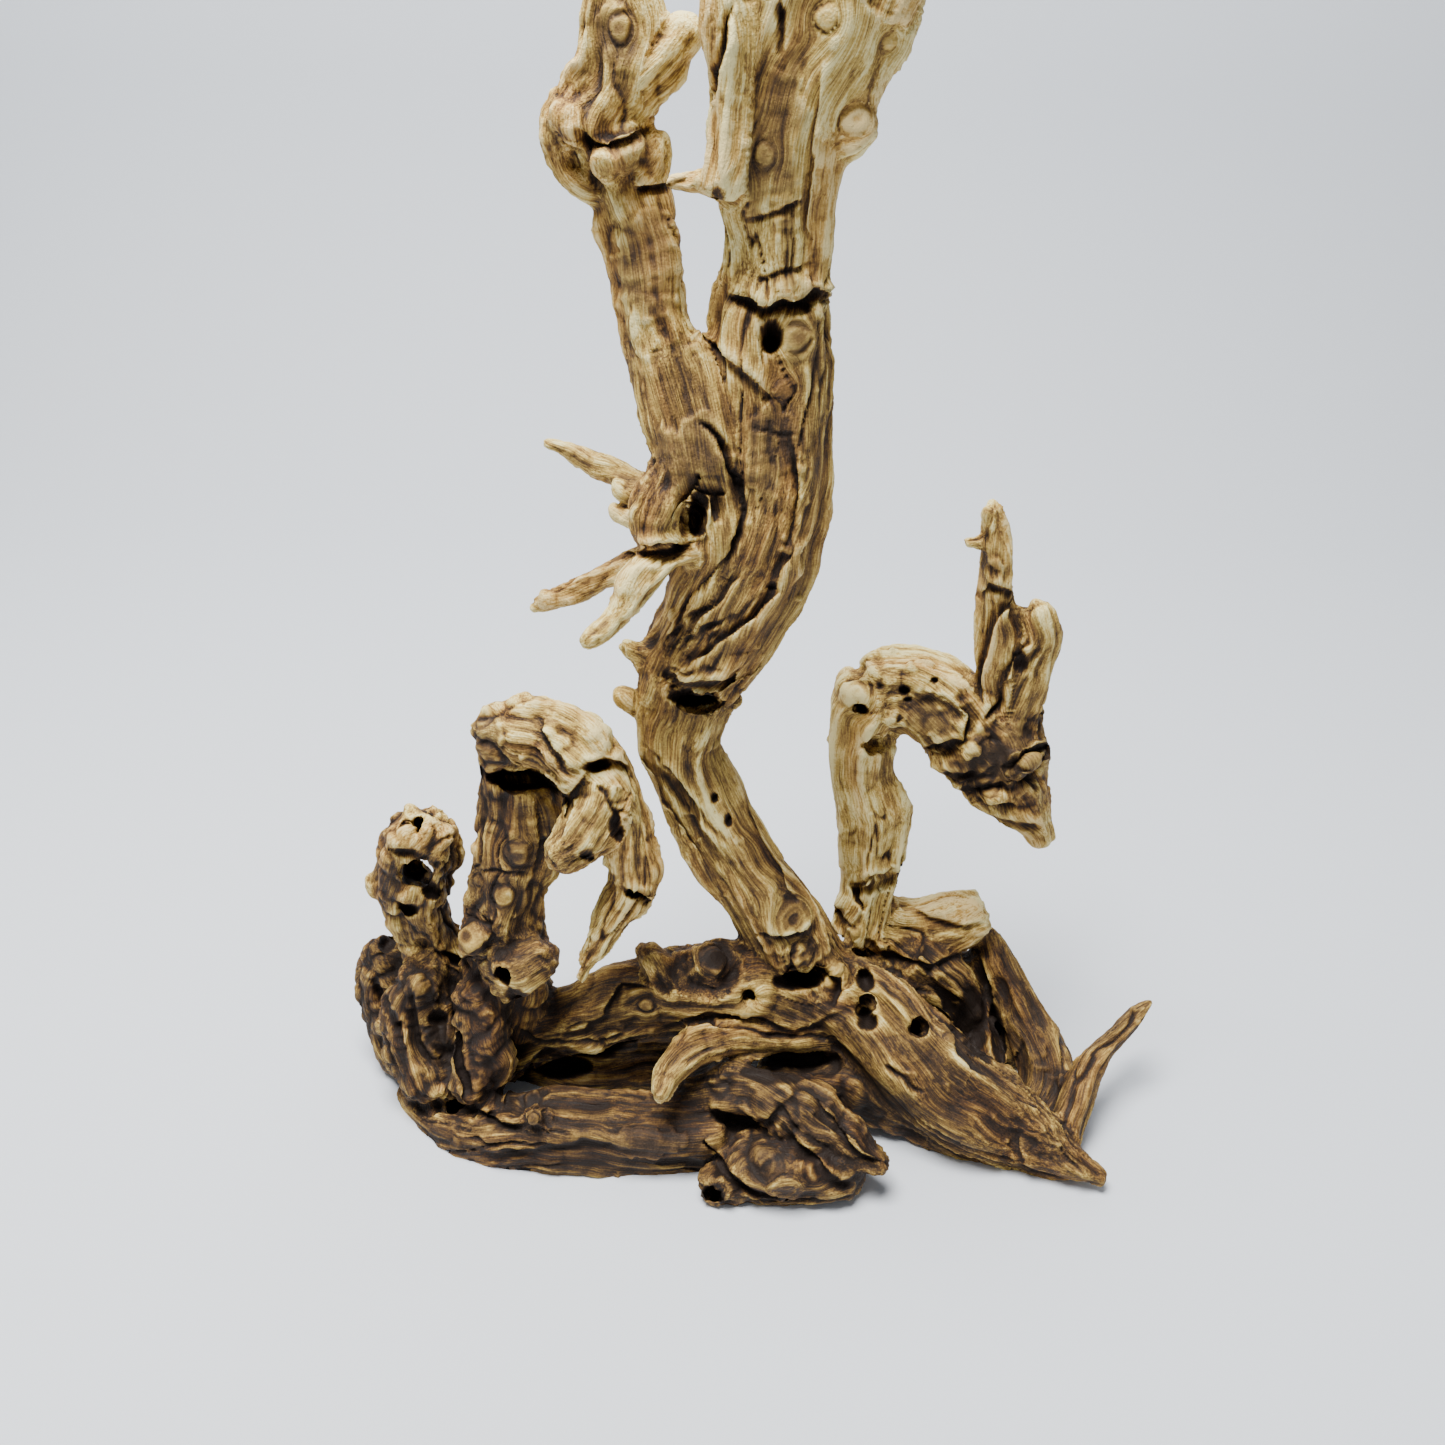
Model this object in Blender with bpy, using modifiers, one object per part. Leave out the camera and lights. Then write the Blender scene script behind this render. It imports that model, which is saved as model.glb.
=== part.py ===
"""Coral wood: a weathered, many-branched root that stands on its lowest roots.

The wood is grown limb by limb. Each limb is a loft of fluted oval rings along a smooth path. The limbs are fused
into one body, worn, hollowed and cut flat where they rest, and then parted at the main forks.
"""

import math

import bmesh
import bpy
import numpy as np
from mathutils import Matrix, Vector, noise
from mathutils.bvhtree import BVHTree

MM = 0.001

# Driving dimensions, in millimetres
FOOTPRINT_MIDDLE = (14.0, 18.0)
RING_SPACING = 5.0
RING_POINTS = 18
FUSE_CELL = 2.3
SMOOTH_PASSES = 2
WEAR_DEPTH = 2.0
WEAR_SPACING = 14.0
LEAST_RADIUS = 2.3
FORK_GAP = 0.3
GROUND_HALVES = (250.0, 200.0, 50.0)
RAY_STEP = 0.01
MOST_FACES = 8000

# Shape of the flutes that run along a limb
FLUTES = 5
FLUTE_DEPTH = 0.13
FLUTE_TWIST = 0.35
FINE_FLUTE_SHARE = 0.4

NAME = "coral_wood"

# A station of a limb is (x, y, z, half width, half depth) in millimetres, from the ground under the trunk's foot.


def trunk_limbs():
    """The trunk leans left, swells at a waist and goes on as two strands that part round a long crack."""
    return [
        [(40, 16, 40, 17, 17), (30, 16, 65, 16, 16), (15, 17, 92, 15, 15), (1, 18, 115, 15, 15),
         (-9, 19, 136, 14, 14), (-15, 20, 152, 14, 14), (-13, 20, 168, 16, 14), (-11, 18, 184, 18, 14)],
        [(-11, 17, 176, 13, 12), (-4, 14, 191, 15, 13), (4, 11, 208, 16, 13), (13, 10, 232, 15, 13),
         (17, 11, 255, 14, 13), (15, 14, 276, 16, 12), (12, 16, 299, 17, 11), (13, 16, 316, 15, 9)],
        [(-19, 20, 174, 10, 10), (-15, 17, 195, 11, 11), (-8, 12, 215, 10, 10), (-2, 8, 236, 8, 10),
         (-7, 10, 256, 12, 11), (-12, 14, 274, 14, 11), (-18, 18, 291, 12, 9)],
        [(-17, 8, 259, 6, 6), (-20, 5, 250, 10, 9), (-22, 3, 242, 9, 8), (-17, 5, 238, 7, 7)],
    ]


def trunk_spikes():
    """Broken side shoots on the left of the trunk, from the highest down, and two small thorns at the waist."""
    return [
        [(-19, 20, 246, 5, 4), (-29, 22, 249, 4, 4), (-40, 25, 252, 4, 3), (-49, 28, 256, 3, 2), (-58, 30, 258, 2, 2)],
        [(-21, 16, 246, 4, 4), (-28, 16, 247, 3, 3), (-35, 17, 249, 2, 2)],
        [(-23, 15, 238, 3, 3), (-30, 15, 240, 2, 2), (-36, 16, 242, 2, 2)],
        [(-20, 18, 226, 6, 6), (-33, 22, 219, 5, 5), (-44, 26, 211, 5, 4), (-56, 30, 203, 4, 4), (-65, 33, 198, 2, 2)],
        [(-11, 4, 235, 5, 5), (-20, 0, 232, 6, 6), (-27, -6, 226, 7, 6), (-31, -10, 219, 5, 5), (-42, -17, 212, 3, 3)],
        [(-20, 18, 188, 6, 6), (-30, 15, 192, 4, 4), (-34, 14, 196, 2, 2)],
        [(-20, 20, 165, 5, 5), (-30, 18, 170, 3, 3), (-35, 16, 175, 2, 2)],
        [(-2, 20, 168, 6, 6), (6, 19, 172, 3, 3)],
    ]


def crown_limbs():
    """The flat upper trunk, which widens and splits into two broken prongs, with a stub towards the left fork."""
    return [
        [(13, 16, 308, 15, 9), (13, 15, 329, 16, 8), (12, 13, 350, 19, 8), (15, 12, 368, 23, 8),
         (20, 10, 388, 26, 8), (22, 10, 400, 23, 7)],
        [(9, 10, 386, 16, 7), (8, 11, 403, 12, 6), (6, 12, 418, 8, 5), (4, 13, 432, 3, 3)],
        [(32, 9, 386, 14, 7), (38, 7, 402, 12, 6), (43, 5, 420, 9, 5), (46, 4, 437, 5, 4), (48, 3, 450, 2, 2)],
        [(-3, 5, 340, 6, 5), (-1, 5, 362, 5, 5), (-3, 4, 382, 6, 5), (-4, 4, 396, 4, 3)],
        [(3, 12, 339, 7, 6), (-6, 10, 341, 5, 5), (-13, 9, 341, 4, 4), (-19, 9, 341, 3, 3)],
        [(30, 12, 352, 6, 6), (37, 11, 357, 4, 4)],
    ]


def left_fork_limbs():
    """The left fork: a straight stem, a lobe that leans right at its head and a hook that curls down on the left."""
    return [
        [(-17, 18, 286, 11, 9), (-22, 20, 300, 11, 8), (-26, 24, 322, 12, 8), (-31, 27, 339, 11, 9),
         (-37, 26, 355, 13, 10), (-32, 25, 366, 12, 10), (-31, 24, 380, 11, 8), (-31, 24, 392, 6, 5)],
        [(-29, 25, 363, 8, 8), (-20, 24, 369, 8, 7), (-12, 22, 379, 3, 3)],
        [(-29, 26, 339, 7, 7), (-23, 24, 345, 6, 6), (-20, 23, 351, 3, 3)],
        [(-37, 26, 354, 7, 7), (-46, 26, 355, 7, 6), (-51, 25, 348, 4, 4), (-49, 24, 340, 3, 3),
         (-44, 24, 336, 4, 4), (-36, 25, 334, 4, 4)],
    ]


def arch_limbs():
    """The arch on the right: a leg with a cut bracket at its foot, and a knotty head that droops to a cut tip."""
    return [
        [(56, 38, 52, 11, 11), (59, 43, 76, 11, 11), (59, 44, 92, 13, 11), (58, 45, 105, 14, 11),
         (53, 46, 120, 12, 10), (51, 46, 135, 12, 11), (52, 46, 151, 13, 11), (54, 46, 162, 12, 11)],
        [(52, 44, 62, 8, 9), (64, 42, 54, 12, 12), (78, 42, 52, 12, 11), (92, 42, 55, 13, 10), (104, 42, 61, 9, 8)],
        [(52, 46, 161, 12, 11), (65, 46, 161, 15, 13), (80, 44, 153, 17, 13), (96, 42, 137, 19, 14),
         (107, 38, 123, 14, 11), (116, 36, 111, 8, 8), (120, 35, 102, 6, 6)],
        [(101, 40, 135, 11, 11), (116, 38, 141, 7, 7)],
    ]


def horn_limbs():
    """The horn that stands on the arch's head, with a lower lobe beside it and a thorn near its tip."""
    return [
        [(104, 42, 134, 11, 10), (103, 43, 148, 12, 9), (100, 43, 163, 10, 8), (96, 42, 182, 9, 7),
         (93, 41, 200, 7, 6), (90, 40, 218, 5, 5), (87, 39, 235, 3, 3)],
        [(104, 42, 153, 8, 8), (107, 40, 172, 7, 6), (109, 38, 188, 7, 5), (106, 38, 200, 4, 4)],
        [(88, 40, 222, 3, 3), (79, 38, 223, 2, 2)],
    ]


def right_root_limbs():
    """The right root runs down to a pointed toe; a wall of wood behind its hollow, a tongue and a hidden back root."""
    return [
        [(32, 16, 45, 17, 17), (53, 8, 40, 20, 20), (71, -4, 31, 20, 20), (90, -14, 18, 20, 19),
         (109, -22, 11, 18, 15), (123, -30, 9, 12, 9), (134, -37, 8, 6, 5), (143, -41, 6, 3, 3)],
        [(121, -14, 0, 13, 11), (129, 0, 8, 11, 10), (127, 14, 18, 10, 10), (120, 28, 26, 9, 10),
         (112, 40, 36, 8, 9), (106, 48, 46, 6, 6)],
        [(96, 42, 34, 12, 9), (106, 38, 20, 12, 9), (114, 32, 8, 12, 9), (120, 22, 2, 10, 9)],
        [(73, 30, 47, 13, 12), (90, 28, 36, 12, 9), (101, 22, 23, 8, 7), (107, 10, 11, 8, 6)],
        [(66, 34, 44, 16, 15), (92, 50, 20, 16, 14), (108, 56, 4, 14, 13), (118, 56, -8, 12, 12)],
    ]


def twig_limbs():
    """A thin twig that leaves the toe of the right root and points up and back."""
    return [[(130, -30, 5, 5, 5), (135, -16, 15, 6, 6), (142, -4, 24, 6, 6), (154, 8, 29, 5, 5),
             (164, 16, 34, 5, 5), (170, 20, 38, 3, 3)]]


def middle_log_limbs():
    """The middle log runs from the left burl up to the trunk's foot; its stub is a shoot that was sawn off."""
    return [
        [(-97, 12, 5, 12, 12), (-79, 10, 18, 12, 12), (-60, 8, 31, 12, 12), (-37, 7, 43, 13, 13),
         (-14, 6, 53, 16, 15), (7, 8, 54, 17, 15), (28, 12, 45, 18, 16), (50, 14, 35, 18, 18)],
        [(-8, 4, 62, 11, 11), (-3, -1, 74, 8, 7)],
        [(-17, 2, 60, 8, 8), (-27, 0, 75, 5, 5)],
    ]


def front_log_limbs():
    """The front log lies on the ground, with a second root behind it that closes the base."""
    return [
        [(-118, 4, -6, 10, 11), (-106, -12, -3, 10, 10), (-89, -22, 2, 12, 12), (-66, -25, 8, 15, 15),
         (-43, -25, 8, 15, 15), (-20, -25, 8, 15, 15), (2, -22, 11, 15, 15)],
        [(-108, 30, -6, 12, 12), (-72, 17, -1, 12, 12), (-35, 14, 2, 12, 12), (2, 15, 8, 12, 12)],
        [(-65, -30, 22, 5, 5), (-65, -37, 28, 4, 4)],
    ]


def front_burl_limbs():
    """The low burl in front of the trunk: a ridge, a rounded low mass with a hollow stub, and a back that joins it."""
    return [
        [(-9, -16, 18, 9, 9), (11, -20, 28, 11, 11), (29, -28, 26, 12, 12), (47, -38, 19, 10, 9), (62, -46, 16, 4, 4)],
        [(3, -47, 5, 8, 8), (16, -40, 6, 13, 12), (33, -40, 9, 14, 13), (52, -44, 10, 8, 8)],
        [(21, -14, 18, 12, 12), (47, -12, 16, 11, 11), (72, -14, 10, 9, 9), (90, -16, 5, 7, 7)],
        [(2, -47, 6, 7, 7), (-1, -52, 8, 6, 6)],
    ]


def hooked_root_limbs():
    """A thin root that leaves the right root, runs left over the burl and hooks down to a broken end."""
    return [[(55, 6, 30, 9, 9), (34, -3, 37, 6, 6), (12, -9, 43, 6, 6), (-5, -15, 46, 8, 8),
             (-16, -26, 43, 7, 6), (-20, -36, 37, 5, 4)]]


def back_root_limbs():
    """The roots at the back, which carry the standing wood."""
    return [
        [(34, 22, 44, 16, 16), (30, 46, 30, 14, 13), (24, 66, 14, 12, 12), (18, 84, 1, 10, 10)],
        [(44, 26, 36, 14, 14), (57, 46, 26, 11, 11), (60, 64, 12, 9, 9), (60, 77, -2, 8, 8)],
        [(-30, 22, 4, 12, 12), (-10, 34, 12, 12, 12), (14, 36, 24, 13, 13), (34, 30, 36, 14, 14)],
    ]


def left_burl_limbs():
    """The knotted mass of roots at the left end of the logs, with three roots that hang down over its front."""
    return [
        [(-131, 22, 48, 7, 7), (-135, 23, 33, 8, 8), (-131, 18, 18, 8, 8), (-124, 10, 5, 9, 9)],
        [(-110, 4, 57, 9, 8), (-115, 4, 40, 11, 9), (-113, -2, 25, 10, 9), (-108, -10, 12, 11, 9)],
        [(-90, -4, 60, 9, 9), (-87, -8, 46, 10, 9), (-88, -12, 30, 11, 9), (-93, -16, 18, 8, 8)],
        [(-86, 14, 34, 18, 18), (-103, 18, 27, 22, 20), (-121, 26, 21, 18, 18), (-136, 34, 24, 11, 11)],
        [(-85, 2, 16, 15, 15), (-102, 6, 12, 18, 18), (-119, 14, 11, 16, 16)],
        [(-106, -2, 12, 10, 10), (-106, -9, 6, 7, 7)],
        [(-124, 24, 44, 10, 10), (-132, 22, 55, 5, 5)],
        [(-104, 30, 20, 14, 14), (-112, 46, 8, 11, 11), (-118, 56, -3, 9, 9)],
    ]


def small_tower_limbs():
    """A short lacy tower at the far left."""
    return [
        [(-106, 20, 48, 14, 13), (-112, 19, 75, 12, 11), (-112, 17, 93, 14, 12), (-107, 15, 111, 14, 11),
         (-101, 13, 123, 9, 8)],
        [(-120, 20, 88, 6, 6), (-129, 20, 88, 4, 4)],
    ]


def tower_limbs():
    """The tower on the left burl, with two noses of wood beside its mouth and a wall behind the hook."""
    return [
        [(-83, 12, 34, 19, 18), (-79, 8, 60, 16, 15), (-78, 6, 81, 15, 14), (-75, 6, 102, 14, 12),
         (-72, 8, 118, 14, 12), (-71, 10, 134, 13, 11), (-71, 10, 149, 12, 10), (-71, 8, 162, 11, 10)],
        [(-81, 0, 81, 9, 9), (-89, -4, 86, 9, 8)],
        [(-78, 1, 70, 11, 11), (-71, -8, 74, 11, 10), (-62, -6, 78, 9, 9)],
        [(-65, 10, 140, 9, 8), (-62, 10, 130, 9, 8), (-61, 9, 118, 9, 8), (-65, 7, 104, 8, 8)],
    ]


def crest_limbs():
    """The crest bends over from the tower's top and comes down as a tusk; a short hook hangs inside the bend."""
    return [
        [(-81, 8, 165, 7, 7), (-73, 7, 164, 10, 9), (-62, 5, 165, 14, 11), (-51, 3, 161, 15, 11),
         (-40, 0, 151, 13, 10), (-33, -3, 138, 10, 8), (-31, -6, 126, 10, 8), (-31, -8, 112, 10, 7),
         (-37, -11, 101, 8, 6), (-44, -14, 87, 5, 4), (-49, -17, 74, 2, 2)],
        [(-66, 6, 169, 6, 6), (-64, 6, 178, 3, 3)],
        [(-39, -3, 149, 11, 10), (-42, -9, 141, 11, 9), (-48, -14, 134, 8, 8), (-54, -17, 129, 6, 6)],
    ]


# Burls are covered with rounded knobs: (x, y, z) of the mass, how many, their radius, how far out, and a seed.
KNOB_GROUPS = (
    ((-108, 14, 22), 16, 9.0, 19.0, 5),
    ((-80, 4, 62), 12, 7.5, 12.0, 9),
    ((-110, 16, 98), 14, 5.0, 10.5, 13),
    ((24, -38, 12), 12, 7.0, 13.0, 17),
    ((98, 40, 138), 10, 6.0, 16.0, 21),
    ((-36, 25, 352), 7, 5.5, 11.0, 29),
    ((-62, 5, 163), 8, 5.0, 12.0, 33),
)

# Hollows and holes: (x, y, z) of the middle, and the half lengths along the width, the way in and the height.
# The way in slopes down to the back, as rain and rot found it.
HOLLOW_SLOPE = 32.0
HOLLOWS = (
    ((53, 2, 66), (5, 12, 6)),
    ((55, -6, 54), (4, 12, 5)),
    ((74, -8, 48), (4, 10, 4)),
    ((12, -4, 58), (5, 10, 4)),
    ((34, 2, 63), (11, 10, 4)),
    ((26, -12, 32), (24, 12, 4)),
    ((-58, -2, 16), (15, 14, 4)),
    ((-98, -10, 6), (5, 10, 4)),
    ((69, -15, 29), (9, 8, 3)),
    ((-8, 8, 177), (8, 9, 4)),
    ((-11, 2, 245), (4, 8, 5)),
    ((14, -2, 226), (3, 8, 3)),
    ((11, 6, 296), (4, 8, 3)),
    ((4, 4, 130), (5, 7, 3)),
    ((-44, 19, 345), (4, 8, 4)),
    ((-108, 14, 100), (7, 20, 7)),
    ((-92, 8, 130), (4, 12, 4)),
    ((-106, 10, 122), (3, 12, 4)),
    ((-75, -8, 72), (5, 12, 5)),
    ((-125, 12, 64), (6, 10, 6)),
    ((-110, 4, 70), (5, 10, 5)),
    ((-65, 0, 150), (13, 11, 6)),
    ((0, -54, 9), (4, 8, 4)),
    ((14, -50, 33), (10, 10, 3)),
    ((57, 36, 143), (8, 9, 4)),
    ((48, 36, 160), (3, 12, 3)),
    ((110, 22, 34), (6, 9, 13)),
    ((102, 8, 24), (8, 9, 11)),
    ((92, 38, 206), (3, 8, 3)),
)

# Cracks and folds: the points of each, then its half width and half depth.
CRACKS = (
    ([(-8, 3, 276), (1, 1, 265), (4, -1, 254), (4, -2, 242), (-3, -1, 229), (-11, 4, 212)], (2.2, 6)),
    ([(20, 0, 268), (22, -1, 255), (21, -2, 242), (18, -2, 230)], (1.8, 4)),
    ([(-24, 7, 151), (-16, 7, 142), (-6, 5, 127), (1, 4, 113), (12, 2, 103), (20, 1, 94)], (1.8, 4)),
    ([(11, 3, 400), (10, 3, 386), (10, 4, 372), (9, 6, 356)], (1.8, 4)),
    ([(-19, 15, 338), (-15, 13, 322), (-12, 11, 303)], (1.8, 4)),
    ([(101, 35, 187), (100, 34, 167), (99, 32, 150)], (2.2, 5)),
    ([(72, 31, 149), (86, 28, 138), (100, 25, 127)], (2.2, 4)),
)

# Where the wood parts into its limbs: a point on the cut, the way across it, and the cut's half width.
FORKS = (
    ((15, 17, 92), (-0.5, 0.0, 0.86), 19),
    ((13, 16, 306), (0.0, 0.0, 1.0), 19),
    ((-23, 20, 302), (-0.25, 0.0, 0.97), 15),
    ((58, 43, 77), (0.0, 0.0, 1.0), 17),
    ((70, 46, 160), (1.0, 0.0, -0.25), 22),
    ((101.5, 42, 174), (0.0, 0.0, 1.0), 17),
    ((74, 13, 25), (1.0, 0.0, 0.0), 47),
    ((-61, -1, 18), (1.0, 0.0, 0.0), 47),
    ((-26, 7, 48), (0.92, 0.0, 0.4), 19),
    ((-14, -24, 6), (1.0, 0.0, 0.0), 26),
    ((-90, 10, 80), (0.0, 0.0, 1.0), 38),
    ((-73, 8, 152), (0.5, 0.0, 0.87), 24),
)

# Each limb's name and a point inside its wood.
LIMB_NAMES = (
    ("foot", (30, 12, 48)),
    ("trunk", (15, 11, 250)),
    ("crown", (13, 13, 350)),
    ("left_fork", (-25, 23, 318)),
    ("arch_leg", (58, 45, 105)),
    ("arch_head", (90, 43, 145)),
    ("horn", (96, 42, 182)),
    ("right_root", (96, -16, 15)),
    ("middle_log", (-45, 7, 38)),
    ("front_log", (-40, -22, 7)),
    ("left_burl", (-96, 12, 24)),
    ("small_tower", (-109, 19, 88)),
    ("tower", (-73, 8, 112)),
    ("crest", (-52, 3, 160)),
)

# Weathered wood: each limb's colour (linear RGB), darker and browner towards the ground.
PALE_WOOD = (0.46, 0.33, 0.16)
DARK_WOOD = (0.22, 0.13, 0.06)
ROUGHNESS = 0.8
TOP_OF_WOOD = 450.0


def at(x, y, z):
    """A place given in millimetres, in metres from the middle of the footprint."""
    return Vector((x - FOOTPRINT_MIDDLE[0], y - FOOTPRINT_MIDDLE[1], z)) * MM


def clear_scene():
    for thing in list(bpy.data.objects):
        bpy.data.objects.remove(thing, do_unlink=True)


def new_collection(name, helper=False):
    group = bpy.data.collections.new(name)
    group.hide_render = helper
    bpy.context.scene.collection.children.link(group)
    return group


def new_object(name, mesh_data, group, helper=False):
    thing = bpy.data.objects.new(name, mesh_data)
    group.objects.link(thing)
    thing.hide_render = helper
    if helper:
        thing.display_type = "WIRE"
    return thing


def path_along(stations):
    """Stations every few millimetres along a smooth curve through the given ones."""
    given = np.array(stations, float)
    held = np.vstack([2 * given[0] - given[1], given, 2 * given[-1] - given[-2]])
    path = []
    for before, start, end, after in zip(held, held[1:], held[2:], held[3:]):
        count = max(2, int(np.linalg.norm((end - start)[:3]) / RING_SPACING))
        for t in np.arange(count) / count:
            bend = 2 * before - 5 * start + 4 * end - after
            swing = 3 * start - before - 3 * end + after
            path.append(start + 0.5 * ((end - before) * t + bend * t**2 + swing * t**3))
    path.append(given[-1])
    path = np.array(path)
    path[:, 3:] = np.maximum(path[:, 3:], LEAST_RADIUS)
    return path


def flute(angle, along, phase):
    """How far a ring stands out at an angle, as a share of its radius: a few broad ridges with finer ones on them."""
    broad = math.cos(FLUTES * angle + FLUTE_TWIST * along / RING_SPACING * 0.4 + phase)
    fine = math.cos((2 * FLUTES + 1) * angle - FLUTE_TWIST * along / RING_SPACING * 0.2 + 2 * phase)
    return 1.0 + FLUTE_DEPTH * (broad + FINE_FLUTE_SHARE * fine)


def loft_limb(bm, stations, phase, fluted=True):
    """A closed tube of oval rings along the stations, with a blunt point at each end."""
    path = path_along(stations)
    middles = [at(*row[:3]) for row in path]
    across = None
    along = 0.0
    rings = []
    for i, row in enumerate(path):
        ahead = middles[min(i + 1, len(path) - 1)]
        behind = middles[max(i - 1, 0)]
        forward = (ahead - behind).normalized()
        depth_way = Vector((0, 1, 0)) if across is None else across
        if across is None and abs(forward.y) > 0.9:
            depth_way = Vector((1, 0, 0))
        across = (depth_way - forward * depth_way.dot(forward)).normalized()
        side = forward.cross(across)
        if i:
            along += (middles[i] - middles[i - 1]).length / MM
        ring = []
        for k in range(RING_POINTS):
            angle = 2 * math.pi * k / RING_POINTS
            reach = flute(angle, along, phase) if fluted else 1.0
            offset = side * (row[3] * math.cos(angle)) + across * (row[4] * math.sin(angle))
            ring.append(bm.verts.new(middles[i] + offset * MM * reach))
        rings.append(ring)
    for low, high in zip(rings, rings[1:]):
        for k in range(RING_POINTS):
            j = (k + 1) % RING_POINTS
            bm.faces.new((low[k], low[j], high[j], high[k]))
    close_end(bm, rings[0], middles[0] - middles[1], min(path[0, 3:]))
    close_end(bm, rings[-1], middles[-1] - middles[-2], min(path[-1, 3:]))


def close_end(bm, ring, outward, radius):
    """A low cone over an end ring."""
    middle = sum((v.co for v in ring), Vector()) / len(ring)
    tip = bm.verts.new(middle + outward.normalized() * radius * 0.5 * MM)
    for k in range(len(ring)):
        bm.faces.new((ring[k], ring[(k + 1) % len(ring)], tip))


def add_knobs(bm):
    """Rounded knobs of wood, set at random over the burls."""
    for middle, count, radius, reach, seed in KNOB_GROUPS:
        random = np.random.default_rng(seed)
        for _ in range(count):
            way = Vector(random.normal(size=3)).normalized()
            size = radius * random.uniform(0.7, 1.15)
            made = bmesh.ops.create_icosphere(bm, subdivisions=2, radius=size * MM)
            place = at(*middle) + way * reach * MM
            bmesh.ops.translate(bm, verts=made["verts"], vec=place)


def all_limbs():
    groups = (
        trunk_limbs, trunk_spikes, crown_limbs, left_fork_limbs, arch_limbs, horn_limbs, right_root_limbs,
        twig_limbs, middle_log_limbs, front_log_limbs, front_burl_limbs, hooked_root_limbs, back_root_limbs,
        left_burl_limbs, small_tower_limbs, tower_limbs, crest_limbs,
    )
    return [limb for group in groups for limb in group()]


def grow_wood(group):
    """All the limbs and knobs, still overlapping, as one object."""
    bm = bmesh.new()
    for number, limb in enumerate(all_limbs()):
        loft_limb(bm, limb, phase=1.7 * number)
    add_knobs(bm)
    bmesh.ops.recalc_face_normals(bm, faces=bm.faces)
    mesh_data = bpy.data.meshes.new(NAME)
    bm.to_mesh(mesh_data)
    bm.free()
    return new_object(NAME, mesh_data, group)


def make_cutters(group):
    """One object that holds every hollow and crack, as closed shapes to take out of the wood."""
    bm = bmesh.new()
    for middle, halves in HOLLOWS:
        made = bmesh.ops.create_icosphere(bm, subdivisions=2, radius=1.0)
        bmesh.ops.scale(bm, verts=made["verts"], vec=Vector(halves) * MM)
        turn = Matrix.Rotation(-math.radians(HOLLOW_SLOPE), 3, "X")
        bmesh.ops.rotate(bm, verts=made["verts"], matrix=turn, cent=(0, 0, 0))
        bmesh.ops.translate(bm, verts=made["verts"], vec=at(*middle))
    for points, (half_width, half_depth) in CRACKS:
        stations = [(x, y, z, half_width, half_depth) for x, y, z in points]
        loft_limb(bm, stations, phase=0.0, fluted=False)
    bmesh.ops.recalc_face_normals(bm, faces=bm.faces)
    mesh_data = bpy.data.meshes.new("hollows")
    bm.to_mesh(mesh_data)
    bm.free()
    return new_object("hollows", mesh_data, group, helper=True)


def settle(thing):
    """The object's mesh as its modifiers leave it, with the modifiers gone."""
    graph = bpy.context.evaluated_depsgraph_get()
    done = bpy.data.meshes.new_from_object(thing.evaluated_get(graph))
    thing.modifiers.clear()
    thing.data = done


def fuse(thing, cell):
    """One skin around all that overlaps."""
    remesh = thing.modifiers.new("fuse", "REMESH")
    remesh.mode = "VOXEL"
    remesh.voxel_size = cell * MM
    settle(thing)


def keep_largest(thing):
    """Drops the skins of pockets that the fused limbs enclose."""
    bm = bmesh.new()
    bm.from_mesh(thing.data)
    islands = islands_of(bm)
    largest = max(islands, key=len)
    loose = [v for island in islands if island is not largest for v in island]
    bmesh.ops.delete(bm, geom=loose, context="VERTS")
    bm.to_mesh(thing.data)
    bm.free()


def islands_of(bm):
    """The vertices of each connected skin."""
    found = []
    seen = set()
    for start in bm.verts:
        if start in seen:
            continue
        seen.add(start)
        island = [start]
        for vert in island:
            for edge in vert.link_edges:
                other = edge.other_vert(vert)
                if other not in seen:
                    seen.add(other)
                    island.append(other)
        found.append(island)
    return found


def wear(thing):
    """Broad lumps and hollows over the whole skin, with the sharp cell marks smoothed away first."""
    bm = bmesh.new()
    bm.from_mesh(thing.data)
    for _ in range(SMOOTH_PASSES):
        bmesh.ops.smooth_vert(bm, verts=bm.verts, factor=0.5, use_axis_x=True, use_axis_y=True, use_axis_z=True)
    bm.normal_update()
    for vert in bm.verts:
        place = vert.co / (WEAR_SPACING * MM)
        lump = noise.noise(place) + 0.5 * noise.noise(place * 2.1)
        vert.co += vert.normal * lump * WEAR_DEPTH * MM
    bm.to_mesh(thing.data)
    bm.free()


def take_away(thing, cutter):
    """Cuts one closed shape out of another."""
    cut = thing.modifiers.new("cut", "BOOLEAN")
    cut.operation = "DIFFERENCE"
    cut.solver = "EXACT"
    cut.use_self = False
    cut.object = cutter
    settle(thing)


def thin_faces(thing, most):
    """Fewer and larger faces where the wood is even."""
    triangles = sum(len(face.vertices) - 2 for face in thing.data.polygons)
    fewer = thing.modifiers.new("fewer", "DECIMATE")
    fewer.ratio = most / triangles
    fewer.use_collapse_triangulate = True
    settle(thing)


def make_ground(group):
    """The block that the wood would stand in: all that reaches into it is cut off flat."""
    bm = bmesh.new()
    bmesh.ops.create_cube(bm, size=2.0)
    bmesh.ops.scale(bm, verts=bm.verts, vec=Vector(GROUND_HALVES) * MM)
    bmesh.ops.translate(bm, verts=bm.verts, vec=(0, 0, -GROUND_HALVES[2] * MM))
    mesh_data = bpy.data.meshes.new("ground")
    bm.to_mesh(mesh_data)
    bm.free()
    return new_object("ground", mesh_data, group, helper=True)


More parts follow.
